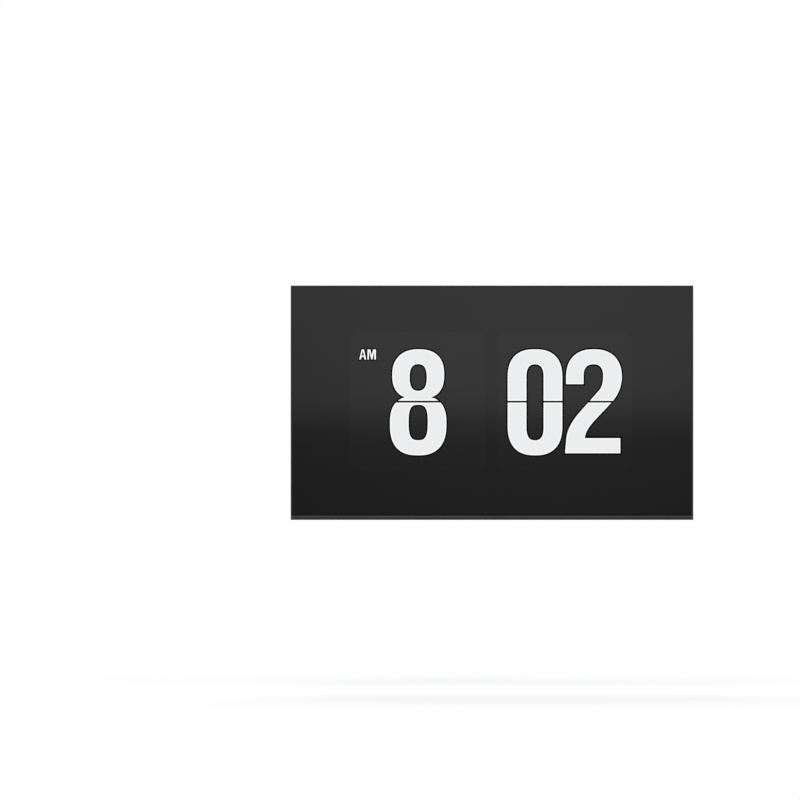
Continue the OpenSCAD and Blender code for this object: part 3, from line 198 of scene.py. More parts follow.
def grained(name, colour, grain_mm, roughness, vary, relief_mm, stretch=(1, 1, 1), **sockets):
    """A finish whose colour, gloss and surface vary with a grain of one size.

    A real grain finer than 0.8 mm wouldn't show, so it is drawn coarser, at 0.8 mm or more. A stretch
    below 1 draws the grain out along that axis, as brushing and rolling do.
    """
    material, tree, shader, place = blank(name, **sockets)
    laid = put(tree, "Mapping", [("Vector", place), ("Scale", stretch)]).outputs["Vector"]
    fine = put(tree, "TexNoise", [("Vector", laid), ("Scale", 1 / (grain_mm * MM)), ("Detail", 3.0)])
    slow = put(tree, "TexNoise", [("Vector", place), ("Scale", 1 / (CLOUD_MM * MM)), ("Detail", 2.0)])
    grain, cloud = fine.outputs["Fac"], slow.outputs["Fac"]
    both = put(tree, "Math", [(0, grain), (1, cloud)], operation="ADD").outputs[0]
    mean = put(tree, "Math", [(0, both), (1, 0.5)], operation="MULTIPLY").outputs[0]
    ramp = put(tree, "ValToRGB", [("Fac", mean)])
    darker, lighter = ramp.color_ramp.elements
    darker.position, lighter.position = NOISE_LOW, NOISE_HIGH
    darker.color, lighter.color = shade(colour, 1 - vary), shade(colour, 1 + vary)
    tree.links.new(ramp.outputs["Color"], shader.inputs["Base Color"])
    gloss = put(tree, "MapRange", [("Value", mean), ("From Min", NOISE_LOW), ("From Max", NOISE_HIGH),
                                   ("To Min", roughness - GLOSS_SWAY), ("To Max", roughness + GLOSS_SWAY)])
    tree.links.new(gloss.outputs["Result"], shader.inputs["Roughness"])
    bump = put(tree, "Bump", [("Height", grain), ("Strength", 0.5), ("Distance", relief_mm * MM)])
    tree.links.new(bump.outputs["Normal"], shader.inputs["Normal"])
    return material


def tint_above(material, height, own, other):
    """Turns a finish from its own colour to another one above a height, and keeps its grain."""
    blur = 0.3 * MM
    tree = material.node_tree
    shader = tree.nodes["Principled BSDF"]
    colour = shader.inputs["Base Color"].links[0].from_socket
    apart = put(tree, "SeparateXYZ", [("Vector", put(tree, "TexCoord").outputs["Object"])])
    above = put(tree, "MapRange", [("Value", apart.outputs["Z"]), ("From Min", height - blur),
                                   ("From Max", height + blur)])
    # A ramp holds nothing over 1, so the tints in it are halved and the colour is doubled.
    ramp = put(tree, "ValToRGB", [("Fac", above.outputs["Result"])])
    plain, tinted = ramp.color_ramp.elements
    plain.color = (0.5, 0.5, 0.5, 1.0)
    tinted.color = tuple(0.5 * b / a for a, b in zip(own, other)) + (1.0,)
    doubled = put(tree, "VectorMath", [(0, colour), ("Scale", 2.0)], operation="SCALE").outputs[0]
    result = put(tree, "VectorMath", [(0, doubled), (1, ramp.outputs["Color"])], operation="MULTIPLY")
    tree.links.new(result.outputs[0], shader.inputs["Base Color"])


def polariser(name, **sockets):
    """Anti-glare polariser over liquid crystal: a black satin face with a fine grit.

    The real grit of about 0.02 mm is drawn at 1.2 mm so that it shows.
    """
    black, grit_size = shade(linear("#070707")), 1.2 * MM
    material, tree, shader, place = blank(name, Base_Color=black, Roughness=0.32, IOR=1.5, **sockets)
    grit = put(tree, "TexNoise", [("Vector", place), ("Scale", 1 / grit_size), ("Detail", 1.0)])
    bump = put(tree, "Bump", [("Height", grit.outputs["Fac"]), ("Strength", 0.1), ("Distance", 0.01 * MM)])
    tree.links.new(bump.outputs["Normal"], shader.inputs["Normal"])
    return material, tree, shader, place


def lit_polariser(name, picture, high, low, gain=1.0, side_fall=0.0):
    """The same face over lit crystal, whose slightly uneven light falls off downwards and sideways."""
    ripple = 0.015
    material, tree, shader, place = polariser(name, Specular_IOR_Level=0.1, Emission_Strength=1.0)
    apart = put(tree, "SeparateXYZ", [("Vector", place)])
    steepest = SET_MIDDLE + picture.fade_middle
    fade = put(tree, "MapRange", [("Value", apart.outputs["Z"]), ("From Min", steepest),
                                  ("From Max", steepest + picture.fade_length)], clamp=False)
    bend = put(tree, "Math", [(0, fade.outputs["Result"])], operation="ARCTANGENT").outputs[0]
    rise = put(tree, "MapRange", [("Value", bend), ("From Min", -math.pi / 2), ("From Max", math.pi / 2)])
    ramp = put(tree, "ValToRGB", [("Fac", rise.outputs["Result"])])
    lowest, highest = ramp.color_ramp.elements
    lowest.color, highest.color = shade(low, gain), shade(high, gain)
    across = put(tree, "Math", [(0, apart.outputs["X"]), (1, picture.brightest)], operation="SUBTRACT")
    aside = across.outputs[0]
    square = put(tree, "Math", [(0, aside), (1, aside)], operation="MULTIPLY").outputs[0]
    side = put(tree, "Math", [(0, square), (1, -side_fall), (2, 1.0)], operation="MULTIPLY_ADD").outputs[0]
    cloud = put(tree, "TexNoise", [("Vector", place), ("Scale", 1 / (GLOW_CLOUD_MM * MM))]).outputs["Fac"]
    uneven = put(tree, "MapRange", [("Value", cloud), ("To Min", 1 - ripple), ("To Max", 1 + ripple)])
    share = put(tree, "Math", [(0, side), (1, uneven.outputs["Result"])], operation="MULTIPLY").outputs[0]
    light = put(tree, "VectorMath", [(0, ramp.outputs["Color"]), ("Scale", share)], operation="SCALE")
    # The face throws back some of the studio's light on top, so that much is taken off here.
    veil = (picture.veil,) * 3
    own = put(tree, "VectorMath", [(0, light.outputs[0]), (1, veil)], operation="SUBTRACT").outputs[0]
    own = put(tree, "VectorMath", [(0, own), (1, (0.0, 0.0, 0.0))], operation="MAXIMUM").outputs[0]
    tree.links.new(own, shader.inputs["Emission Color"])
    return material


def dress(material, *names):
    """Gives CAD nodes one material."""
    for name in names:
        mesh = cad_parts[name].data
        mesh.materials.clear()
        mesh.materials.append(material)


def join_corners(*names):
    """Joins the doubled corners of CAD nodes by a modifier."""
    for name in names:
        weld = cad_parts[name].modifiers.new("Joined corners", "WELD")
        weld.merge_threshold = 0.002 * MM


def soften(radius, *names):
    """Rounds the sharp edges of CAD nodes by a modifier."""
    join_corners(*names)
    for name in names:
        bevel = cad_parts[name].modifiers.new("Soft edges", "BEVEL")
        bevel.width = radius
        bevel.segments = 2
        bevel.limit_method = "ANGLE"
        bevel.angle_limit = math.radians(35)


def rectangle(left, right, low, high):
    """The corners of a rectangle."""
    return [(left, low), (right, low), (right, high), (left, high)]


def round_end(cx, cz, rx, rz, start, end, power=2, steps=20):
    """Points from one angle to another on an ellipse, which a power above 2 makes squarer."""
    points = []
    for i in range(steps + 1):
        angle = math.radians(start + (end - start) * i / steps)
        c, s = math.cos(angle), math.sin(angle)
        points.append((cx + rx * math.copysign(abs(c) ** (2 / power), c),
                       cz + rz * math.copysign(abs(s) ** (2 / power), s)))
    return points


def ring(cz, rx, rz, power, steps=60):
    """A whole squared ellipse on the middle line."""
    return round_end(0, cz, rx, rz, 0, 360, power, steps)[:-1]


def height_angle(rise, rz, power):
    """The angle at which a squared ellipse reaches a height above its middle."""
    return math.degrees(math.copysign(math.asin((abs(rise) / rz) ** (power / 2)), rise))


def sweep(a, control, b, steps=12):
    """Points on a curve that leaves a towards the control point and reaches b from it."""
    points = []
    for i in range(steps + 1):
        t = i / steps
        weights = (1 - t) ** 2, 2 * t * (1 - t), t * t
        points.append(tuple(sum(w * p for w, p in zip(weights, axis)) for axis in zip(a, control, b)))
    return points


def clearance(point, loop):
    """Least distance from a point to an outline."""
    nearest = math.inf
    for a, b in zip(loop, loop[1:] + loop[:1]):
        along, out = Vector(b) - Vector(a), Vector(point) - Vector(a)
        share = min(1.0, max(0.0, out.dot(along) / along.length_squared))
        nearest = min(nearest, (out - along * share).length)
    return nearest


def grown(loop, by):
    """An outline moved outwards, or inwards by a negative distance, without points that would cross it."""
    least_step, slack = 0.05, 0.999
    loop = [p for p, q in zip(loop, loop[1:] + loop[:1]) if math.dist(p, q) > least_step]
    area = sum(p[0] * q[1] - q[0] * p[1] for p, q in zip(loop, loop[1:] + loop[:1]))
    right = math.copysign(by, by * area)
    moved = []
    for a, b, c in zip(loop[-1:] + loop[:-1], loop, loop[1:] + loop[:1]):
        before, after = (Vector(b) - Vector(a)).normalized(), (Vector(c) - Vector(b)).normalized()
        ahead = before + after
        # A sharp corner that moves outwards is blunted, so that it doesn't run far out.
        blunted = ahead.length_squared < 1.0 and before.cross(after) * right > 0
        reach = 2 * right / (1.0 if blunted else ahead.length_squared)
        point = (b[0] + ahead.y * reach, b[1] - ahead.x * reach)
        if blunted or clearance(point, loop) > slack * abs(by):
            moved.append(point)
    return moved


def prism(name, rings, origin, back, thickness, material, body, holes=True):
    """A closed flat piece from outlines in millimetres about an origin.

    An outline that lies inside another is a hole, unless holes are off.
    """
    points, loops = [], []
    for loop in rings:
        loops.append(list(range(len(points), len(points) + len(loop))))
        points += [Vector(p) for p in loop]
    inside_with_holes, inside, tolerance = 2, 1, 1e-5
    points, _, triangles, *_ = delaunay_2d_cdt(
        points, [], loops, inside_with_holes if holes else inside, tolerance)
    count = len(points)
    verts = [(origin[0] + p.x * MM, y, origin[1] + p.y * MM)
             for y in (back - thickness, back) for p in points]
    faces = [list(t) for t in triangles] + [[count + i for i in reversed(t)] for t in triangles]
    steps = {(t[i - 1], t[i]) for t in triangles for i in range(3)}
    faces += [[a, a + count, b + count, b] for a, b in sorted(steps) if (b, a) not in steps]
    mesh = bpy.data.meshes.new(name)
    mesh.from_pydata(verts, [], faces)
    mesh.update()
    mesh.materials.append(material)
    piece = bpy.data.objects.new(name, mesh)
    bpy.context.scene.collection.objects.link(piece)
    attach(piece, body)


def picture_layer(picture, name, rings, place, depth, material, holes=True):
    """One layer of the picture, on as many others as its depth says."""
    prism(name, rings, place, SCREEN_FRONT - depth * picture.layer, picture.layer, material,
          SET_BODY, holes)


def clock_place(picture):
    """Middles of the hour card and the minute card on the screen, in metres."""
    half = (picture.card_width + picture.card_gap) / 2
    height = SET_MIDDLE + picture.above
    return (picture.across - half, height), (picture.across + half, height)


class TELEVISION_OT_screen(bpy.types.Operator):
    """Finishes the liquid crystal cell and the sheets behind it"""

    bl_idname = "television.screen"
    bl_label = "Screen stack"

    def execute(self, context):
        picture = context.scene.clock_picture
        # The lit field is an even dark grey that fades downwards.
        field = lit_polariser("Anti-glare polariser, lit field", picture, picture.field_high,
                              picture.field_low, side_fall=picture.side_fall)
        dress(field, "lcd_cell")
        # The cell's unlit border shows as a dark line inside the bezel. Its wider band above the chin is
        # partly that border and partly painted shade of the gap over the chin.
        dark = polariser("Anti-glare polariser, unlit border", Specular_IOR_Level=0.1)[0]
        left, right = (BODY_LOW[0] + LIP_WIDTH) / MM, (BODY_HIGH[0] - LIP_WIDTH) / MM
        low, high = CHIN_TOP / MM, (BODY_HIGH[2] - LIP_WIDTH) / MM
        side, foot = picture.border / MM, picture.border_low_and_shade / MM
        outer = rectangle(left, right, low, high)
        inner = rectangle(left + side, right - side, low + foot, high - side)
        picture_layer(picture, "screen_border", [outer, inner], (0, 0), 0, dark)
        # Stretched polyester is milky and even, with a faint sheen.
        white = grained("Polyester film, matt white", linear("#eceded"), grain_mm=2, roughness=0.5,
                        vary=0.02, relief_mm=0.004, IOR=1.58)
        dress(white, "diffuser_sheet", "reflector_sheet")
        # Fine prisms run across the sheet and give it a silky streak.
        prisms = grained("Polyester film, prismatic", linear("#d3d9de"), grain_mm=1.2, roughness=0.3,
                         vary=0.04, relief_mm=0.02, stretch=(0.02, 1, 1), IOR=1.58)
        dress(prisms, "prism_sheet")
        # Cast acrylic is clear with a cool edge and a polished face.
        clear = grained("Acrylic, cast clear", linear("#dce9ee"), grain_mm=3, roughness=0.12,
                        vary=0.02, relief_mm=0.002, IOR=1.49)
        dress(clear, "light_guide")
        # Closed-cell foam is dull black with a pitted skin.
        foam = grained("Foam, closed cell", linear("#17181a"), grain_mm=1, roughness=0.9,
                       vary=0.25, relief_mm=0.12, IOR=1.5)
        dress(foam, "panel_gasket", "speaker_pads")
        # Polycarbonate with glass fibre is dense black and a little rough.
        black = grained("Polycarbonate, glass filled", linear("#1b1c1e"), grain_mm=0.9, roughness=0.55,
                        vary=0.12, relief_mm=0.03, IOR=1.585)
        dress(black, "middle_frame")
        return {"FINISHED"}


class TELEVISION_OT_clock_cards(bpy.types.Operator):
    """Draws the two number cards in their upper and lower halves"""

    bl_idname = "television.clock_cards"
    bl_label = "Clock cards"

    def execute(self, context):
        picture = context.scene.clock_picture
        # A lit card is a shade lighter than the field around it.
        card = lit_polariser("Anti-glare polariser, lit card", picture, picture.field_high,
                             picture.field_low, picture.card_gain, picture.side_fall)
        wide, high = picture.card_width / MM / 2, picture.card_height / MM / 2
        corner, gap = picture.card_corner / MM, picture.card_split / MM / 2
        upper = [(-wide, gap), (wide, gap)]
        upper += round_end(wide - corner, high - corner, corner, corner, 0, 90, steps=10)
        upper += round_end(corner - wide, high - corner, corner, corner, 90, 180, steps=10)
        lower = [(x, -z) for x, z in upper]
        for label, place in zip(("hour", "minute"), clock_place(picture)):
            for part, loop in (("upper", upper), ("lower", lower)):
                picture_layer(picture, f"{label}_card_{part}", [loop], place, 0, card)
        return {"FINISHED"}


class TELEVISION_OT_numerals(bpy.types.Operator):
    """Draws the hour and minute numerals, each split like a flip card"""

    bl_idname = "television.numerals"
    bl_label = "Numerals"

    def eight(self, cap, base, over, under):
        """Two bowls with a notched waist, a little squarer at the upper right and the lower left."""
        # Height and half width of each bowl where it is widest, and how square its outer end is.
        high, narrow, cap_powers = 97, 94.8, (2.47, 2.27)
        low, wide, base_powers = -82, 103, (2.45, 2.55)
        # How far the upper bowl falls and the lower one rises towards the waist, and how squarely.
        drop, drop_power = 90, 2.5
        rise, rise_power = 103.5, 2.7
        waist, notch_rise, notch_fall = 15.4, 4.6, 3.4
        notches = (46.6, waist - 0.4), (48.6, waist + 1)
        # Each half is drawn for the right and the left side, and the left one is mirrored.
        turn = height_angle(waist + notch_rise - high, drop, drop_power)
        meet = height_angle(waist - notch_fall - low, rise, rise_power)
        cut_up = height_angle(over - low, rise, rise_power)
        below = round_end(0, low, wide, rise, cut_up, meet, rise_power, 24)
        above = round_end(0, high, narrow, drop, turn, 0, drop_power, 14)[:-1]
        right, left = (below + [notch] + above + round_end(0, high, narrow, cap - high, 0, 90, power, 24)
                       for power, notch in zip(cap_powers, notches))
        upper = right + [(-x, z) for x, z in left[-2::-1]]
        cut_down = height_angle(-under - low, rise, rise_power)
        flank = round_end(0, low, wide, rise, 0, cut_down, rise_power, 16)
        right, left = (round_end(0, low, wide, low + base, -90, 0, power, 24)[:-1] + flank
                       for power in base_powers)
        lower = right + [(-x, z) for x, z in left[:0:-1]]
        eye_upper = ring(cz=87.4, rx=30.6, rz=48, power=2.5)
        eye_lower = ring(cz=-76.1, rx=34.2, rz=63.8, power=3)
        return [upper, eye_upper], [lower, eye_lower]

    def zero(self, cap, base, over, under):
        """A round-ended ring with straight sides."""
        outer, bend, cap_power, base_power = 99.8, 86, 2.46, 2.45
        inner, eye_power = 30.6, 2.5
        eye_high, eye_rise = 90, 44.6
        eye_low, eye_fall = -95, 45.4
        upper = [(-outer, over)] + round_end(0, bend, outer, cap - bend, 180, 0, cap_power, 40)
        upper += [(outer, over), (inner, over)]
        upper += round_end(0, eye_high, inner, eye_rise, 0, 180, eye_power, 28) + [(-inner, over)]
        lower = [(-outer, -under)] + round_end(0, -bend, outer, base - bend, 180, 360, base_power, 40)
        lower += [(outer, -under), (inner, -under)]
        lower += round_end(0, eye_low, inner, eye_fall, 360, 180, eye_power, 28) + [(-inner, -under)]
        return [upper], [lower]

    def two(self, cap, base, over, under):
        """A hook over a slanting stem and a flat foot."""
        left, right, bend, power = 100.8, 103, 86, 2.35
        inner, inner_across, inner_bend, inner_rise, inner_power = 34.9, -1, 92, 42.8, 2.5
        tip, heel, toe, foot, foot_top = 62.6, -104.5, 97.4, 7.5 - base, -132.4
        # From the hook's tip over the top and down its outer side to the split.
        upper = [(-left, tip)] + round_end(0, bend, left, cap - bend, 180, 90, power, 20)[:-1]
        upper += round_end(0, bend, right, cap - bend, 90, 0, power, 20)[:-1]
        upper += sweep((right, bend), (101.2, 40), (70.6, over))
        # Back up the inner side and round to the tip.
        upper += [(-15.1, over)] + sweep((19, 40.3), (34, 57.3), (inner_across + inner, inner_bend))[:-1]
        upper += round_end(inner_across, inner_bend, inner, inner_rise, 0, 180, inner_power, 28)
        upper += [(inner_across - inner, tip)]
        # From the split down the stem's inner side, round the foot and back up its outer side.
        lower = [(65.9, -under)] + sweep((7.6, -65.2), (-31.4, -106.5), (-31.4, foot_top))
        lower += [(toe, foot_top), (toe, foot), (heel, foot)]
        lower += sweep((-99.4, -130.5), (-94.2, -87.2), (-50, -37)) + [(-19.9, -under)]
        return [upper], [lower]

    def execute(self, context):
        picture = context.scene.clock_picture
        # A lit numeral is a soft white inside a brighter rim, and a dark line sets it off.
        white = lit_polariser("Anti-glare polariser, lit numeral", picture, picture.numeral, picture.numeral)
        bright = lit_polariser("Anti-glare polariser, lit rim", picture, WHITE, WHITE)
        dark = polariser("Anti-glare polariser, unlit edge", Specular_IOR_Level=0.0)[0]
        trim, edge, rim = picture.trim / MM, picture.edge / MM, picture.rim / MM
        drop, half = picture.split_drop / MM, picture.split / MM / 2
        sizes = picture.cap / MM, picture.base / MM, half - drop, half + drop
        (hour, height), (minute, _) = clock_place(picture)
        hour, minute = hour + picture.inward, minute - picture.inward
        places = (("eight", self.eight, hour), ("zero", self.zero, minute - picture.pair / 2),
                  ("two", self.two, minute + picture.pair / 2))
        for label, draw, across in places:
            for part, sign, loops in zip(("upper", "lower"), (1, -1), draw(*sizes)):
                name = f"numeral_{label}_{part}"
                layers = ((name + "_edge", edge - trim, dark), (name, -trim, bright),
                          (name + "_face", -trim - rim, white))
                for depth, (title, by, material) in enumerate(layers, 1):
                    shape = [grown(loop, -by if i else by) for i, loop in enumerate(loops)]
                    # Both halves stop at the middle of the split.
                    shape = [[(x, sign * max(-sign * drop, sign * z)) for x, z in loop] for loop in shape]
                    picture_layer(picture, title, shape, (across, height), depth, material)
        return {"FINISHED"}


class TELEVISION_OT_day_half(bpy.types.Operator):
    """Draws the small mark of the half of the day on the hour card"""

    bl_idname = "television.day_half"
    bl_label = "Half of the day"

    def execute(self, context):
        picture = context.scene.clock_picture
        # The mark is as bright as the screen gets, with a dark line round it.
        white = lit_polariser("Anti-glare polariser, lit mark", picture, WHITE, WHITE)
        dark = polariser("Anti-glare polariser, unlit edge of mark", Specular_IOR_Level=0.0)[0]
        cap, bar_low, bar_high, fork = picture.mark_cap / MM, 9.7, 15.4, 32.5
        letter_a = [(-0.3, 0), (6.9, 0), (9, bar_low), (16.4, bar_low), (18.6, 0), (26.2, 0),
                    (17.9, cap), (8.7, cap)]
        hole_a = [(9.3, bar_high), (17, bar_high), (13.2, 31.5)]
        letter_m = [(29.6, 0), (36, 0), (36.3, fork), (43.6, 0), (48.6, 0), (54.8, fork), (53.9, 0),
                    (61.5, 0), (61.5, cap), (50.3, cap), (45.5, 16.5), (41, cap), (29.6, cap)]
        hour, height = clock_place(picture)[0]
        place = (hour - picture.card_width / 2 + picture.mark_in, height + picture.mark_up)
        edge, trim = picture.mark_edge / MM, picture.trim / MM
        outlines = [grown(letter_a, edge), grown(letter_m, edge)]
        picture_layer(picture, "day_half_mark_edge", outlines, place, 1, dark, holes=False)
        letters = [grown(letter_a, -trim), grown(hole_a, trim), grown(letter_m, -trim)]
        picture_layer(picture, "day_half_mark", letters, place, 2, white)
        return {"FINISHED"}


class TELEVISION_OT_bezel(bpy.types.Operator):
    """Finishes the bezel, the chin bar and the receiver window"""

    bl_idname = "television.bezel"
    bl_label = "Bezel and chin"

    def execute(self, context):
        finish = context.scene.set_finish
        # Blasted and anodised aluminium is a dark satin metal with a very fine grit.
        satin = grained("Aluminium, blasted and anodised", finish.bezel, grain_mm=0.8, roughness=0.36,
                        vary=0.06, relief_mm=0.01, Metallic=1.0)
        dress(satin, "bezel_frame")
        # Brushing runs along the bar; its real lines of 0.2 mm are drawn 1.4 mm apart so that they show.
        brushed = grained("Aluminium, brushed and anodised", finish.chin, grain_mm=1.4, roughness=0.34,
                          vary=0.1, relief_mm=0.02, stretch=(0.01, 1, 1), Metallic=1.0)
        # The slope above the ridge is painted lighter: a painted highlight where the ridge catches the
        # light.
        tint_above(brushed, CHIN_TOP - finish.painted_highlight_cut, finish.chin, finish.bright)
        # The upper edge above that slope is painted dark: painted shade of the gap, which shows as a thin
        # dark line under the picture.
        tint_above(brushed, CHIN_TOP - finish.painted_shade_edge, finish.bright, finish.edge)
        dress(brushed, "chin_trim")
        # Dyed polycarbonate looks black with a wine-red depth.
        lens = grained("Polycarbonate, dyed", linear("#1d0d11"), grain_mm=2, roughness=0.15,
                       vary=0.1, relief_mm=0.002, IOR=1.585)
        dress(lens, "remote_window")
        soften(finish.soft_edge, "bezel_frame", "chin_trim")
        return {"FINISHED"}


class TELEVISION_OT_back_pan(bpy.types.Operator):
    """Finishes the pressed steel pan"""

    bl_idname = "television.back_pan"
    bl_label = "Back pan"

    def execute(self, context):
        finish = context.scene.set_finish
        # Coil-coated steel has an even low-gloss paint with a slight orange peel.
        coated = grained("Steel sheet, coil coated", finish.pan, grain_mm=2.2, roughness=0.5,
                         vary=0.06, relief_mm=0.03, IOR=1.5, Specular_IOR_Level=0.3)
        dress(coated, "back_pan")
        return {"FINISHED"}


class TELEVISION_OT_rear_cover(bpy.types.Operator):
    """Finishes the rear cover, its trays and lid, the key escutcheon, the speaker boxes and the screws"""

    bl_idname = "television.rear_cover"
    bl_label = "Rear cover"

    def execute(self, context):
        finish = context.scene.set_finish
        # A spark-eroded mould leaves a fine pebble; its 0.3 mm grain is drawn at 1.6 mm so that it shows.
        pebble = grained("ABS, spark-eroded mould", finish.cover, grain_mm=1.6, roughness=0.58,
                         vary=0.12, relief_mm=0.09, IOR=1.53, Specular_IOR_Level=0.22)
        dress(pebble, "rear_cover", "terminal_tray", "mains_tray", "mains_cover")
        # A satin mould leaves a smoother, slightly darker face with a soft shine.
        smooth = grained("ABS, satin mould", shade(finish.cover, 0.9), grain_mm=0.9, roughness=0.42,
                         vary=0.1, relief_mm=0.02, IOR=1.53)
        dress(smooth, "key_escutcheon", "speaker_box_left", "speaker_box_right")
        # Black zinc on screws is a soft dark metal.
        black_zinc = grained("Steel, black zinc", linear("#2b2c2f"), grain_mm=0.8, roughness=0.4,
                             vary=0.15, relief_mm=0.01, Metallic=1.0)
        dress(black_zinc, "cover_screws")
        return {"FINISHED"}


class TELEVISION_OT_keys(bpy.types.Operator):
    """Finishes the four keys and prints their signs"""

    bl_idname = "television.keys"
    bl_label = "Keys"

    def sign(self, ink, name, node, rings, up=0.0, sunk=0.0):
        """Prints a sign on a key, some millimetres above its middle and sunk below its face."""
        thick = 0.08 * MM
        low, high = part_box(node)
        place = ((low[0] + high[0]) / 2, (low[2] + high[2]) / 2 + up * MM)
        prism(name, rings, place, high[1] + thick - sunk * MM, thick, ink, node)

    def execute(self, context):
        finish = context.scene.set_finish
        # Satin-moulded keys are a tone lighter than the cover and slightly shiny.
        satin = grained("ABS, satin key", linear("#303236"), grain_mm=0.8, roughness=0.4,
                        vary=0.08, relief_mm=0.015, IOR=1.53)
        keys = "power_key", "input_key", "volume_rocker", "channel_rocker"
        dress(satin, *keys)
        soften(finish.soft_edge, *keys)
        # Pad-printed ink is a thin matt grey layer.
        ink = grained("Ink, pad printed", linear("#b9bcc0"), grain_mm=0.8, roughness=0.6,
                      vary=0.06, relief_mm=0.01, IOR=1.5)
        # The round keys carry their signs in a hollow, and the rockers near their ends.
        hollow, end, stroke = 0.3, 11, 0.35
        arc_out = round_end(0, 0, 2.4, 2.4, 125, 415, steps=28)
        arc_in = round_end(0, 0, 1.9, 1.9, 415, 125, steps=28)
        bar = rectangle(-0.28, 0.28, 0.2, 2.8)
        self.sign(ink, "power_key_sign", "power_key", [arc_out + arc_in, bar], sunk=hollow)
        outer, inner = rectangle(-2.6, 2.6, -1.8, 1.8), rectangle(-2.1, 2.1, -1.3, 1.3)
        arrow = [(-0.5, -0.7), (0.8, 0), (-0.5, 0.7)]
        self.sign(ink, "input_key_sign", "input_key", [outer, inner, arrow], sunk=hollow)
        arm = 1.9
        minus = rectangle(-arm, arm, -stroke, stroke)
        quarter = [(stroke, -arm), (stroke, -stroke), (arm, -stroke)]
        plus = quarter + [(x, -z) for x, z in quarter[::-1]]
        plus += [(-x, -z) for x, z in plus]
        self.sign(ink, "volume_plus_sign", "volume_rocker", [plus], up=end)
        self.sign(ink, "volume_minus_sign", "volume_rocker", [minus], up=-end)
        upward = [(-2, -1.1), (2, -1.1), (0, 1.6)]
        downward = [(x, -z) for x, z in upward]
        self.sign(ink, "channel_up_sign", "channel_rocker", [upward], up=end)
        self.sign(ink, "channel_down_sign", "channel_rocker", [downward], up=-end)
        return {"FINISHED"}


class TELEVISION_OT_fixings(bpy.types.Operator):
    """Finishes the mounting rails, posts, standoffs, shield and screws"""

    bl_idname = "television.fixings"
    bl_label = "Rails, posts and screws"

    def execute(self, context):
        # Zinc plate on rolled sheet is bright, cool and faintly streaked.
        zinc = grained("Steel, zinc plated", linear("#b4b7bb"), grain_mm=1.2, roughness=0.34,
                       vary=0.1, relief_mm=0.01, stretch=(1, 1, 0.2), Metallic=1.0)
        dress(zinc, "mount_rails", "timing_shield", "board_standoffs", "board_screws", "rail_screws")
        # Turned and plated posts are a little brighter, with a fine grain along their length.
        turned = grained("Steel, turned and zinc plated", linear("#c3c5c8"), grain_mm=0.8, roughness=0.3,
                         vary=0.08, relief_mm=0.015, stretch=(1, 0.3, 1), Metallic=1.0)
        dress(turned, "mount_posts")
        return {"FINISHED"}


class TELEVISION_OT_boards(bpy.types.Operator):
    """Finishes the circuit boards, their parts, films, ribbons and leads"""

    bl_idname = "television.boards"
    bl_label = "Boards and wiring"

    def execute(self, context):
        # Green resist over glass fibre shows darker tracks under a glossy coat.
        resist = grained("Glass-fibre board, green resist", linear("#1d5b3d"), grain_mm=2.5, roughness=0.35,
                         vary=0.25, relief_mm=0.03, stretch=(1, 1, 0.2), IOR=1.5)
        dress(resist, "main_board", "timing_board", "radio_module", "key_board", "remote_board",
              "source_boards")
        # Paper laminate is a dull honey brown.
        laminate = grained("Paper laminate board", linear("#a07a40"), grain_mm=3, roughness=0.6,
                           vary=0.15, relief_mm=0.03, IOR=1.5)
        dress(laminate, "power_board")
        # Extruded aluminium is a pale satin metal with fine die lines.
        extruded = grained("Aluminium, extruded", linear("#a9acb0"), grain_mm=1, roughness=0.38,
                           vary=0.08, relief_mm=0.02, stretch=(1, 1, 0.05), Metallic=1.0)
        dress(extruded, "processor_heat_sink", "power_heat_sinks", "led_heat_spreader")
        # Sintered ferrite is a dull brown-black with a stony grain.
        ferrite = grained("Ferrite, sintered", linear("#34302b"), grain_mm=1.5, roughness=0.7,
                          vary=0.2, relief_mm=0.05, IOR=1.6)
        dress(ferrite, "power_transformers")
        # Shrunk sleeve is a taut, shiny dark blue skin.
        sleeve = grained("PVC, shrunk sleeve", linear("#1a2742"), grain_mm=2, roughness=0.28,
                         vary=0.1, relief_mm=0.01, IOR=1.53)
        dress(sleeve, "mains_capacitors")
        # A bundle of red wires shows light and dark strands side by side along the lead.
        wires = grained("PVC, wire bundle", linear("#a22b24"), grain_mm=3, roughness=0.42,
                        vary=0.35, relief_mm=0.3, stretch=(0.1, 1, 1), IOR=1.53)
        dress(wires, "power_lead")
        # Polyimide is amber, with copper tracks that show through as fine stripes.
        amber = grained("Polyimide film, copper tracks", linear("#8a5a24"), grain_mm=0.9, roughness=0.25,
                        vary=0.3, relief_mm=0.01, stretch=(1, 0.02, 0.02), IOR=1.68)
        dress(amber, "driver_films")
        # Flat ribbon cable is ivory, ribbed by the conductors in it.
        ribbon = grained("Polyester ribbon cable", linear("#d6d3c6"), grain_mm=1, roughness=0.35,
                         vary=0.08, relief_mm=0.03, stretch=(1, 0.02, 0.02), IOR=1.58)
        dress(ribbon, "panel_ribbons", "timing_ribbon")
        # White resist on the light strip is a warm, even white with a low gloss.
        strip = grained("Light strip, white resist", linear("#efecdc"), grain_mm=2, roughness=0.4,
                        vary=0.04, relief_mm=0.01, IOR=1.5)
        dress(strip, "led_bar")
        return {"FINISHED"}


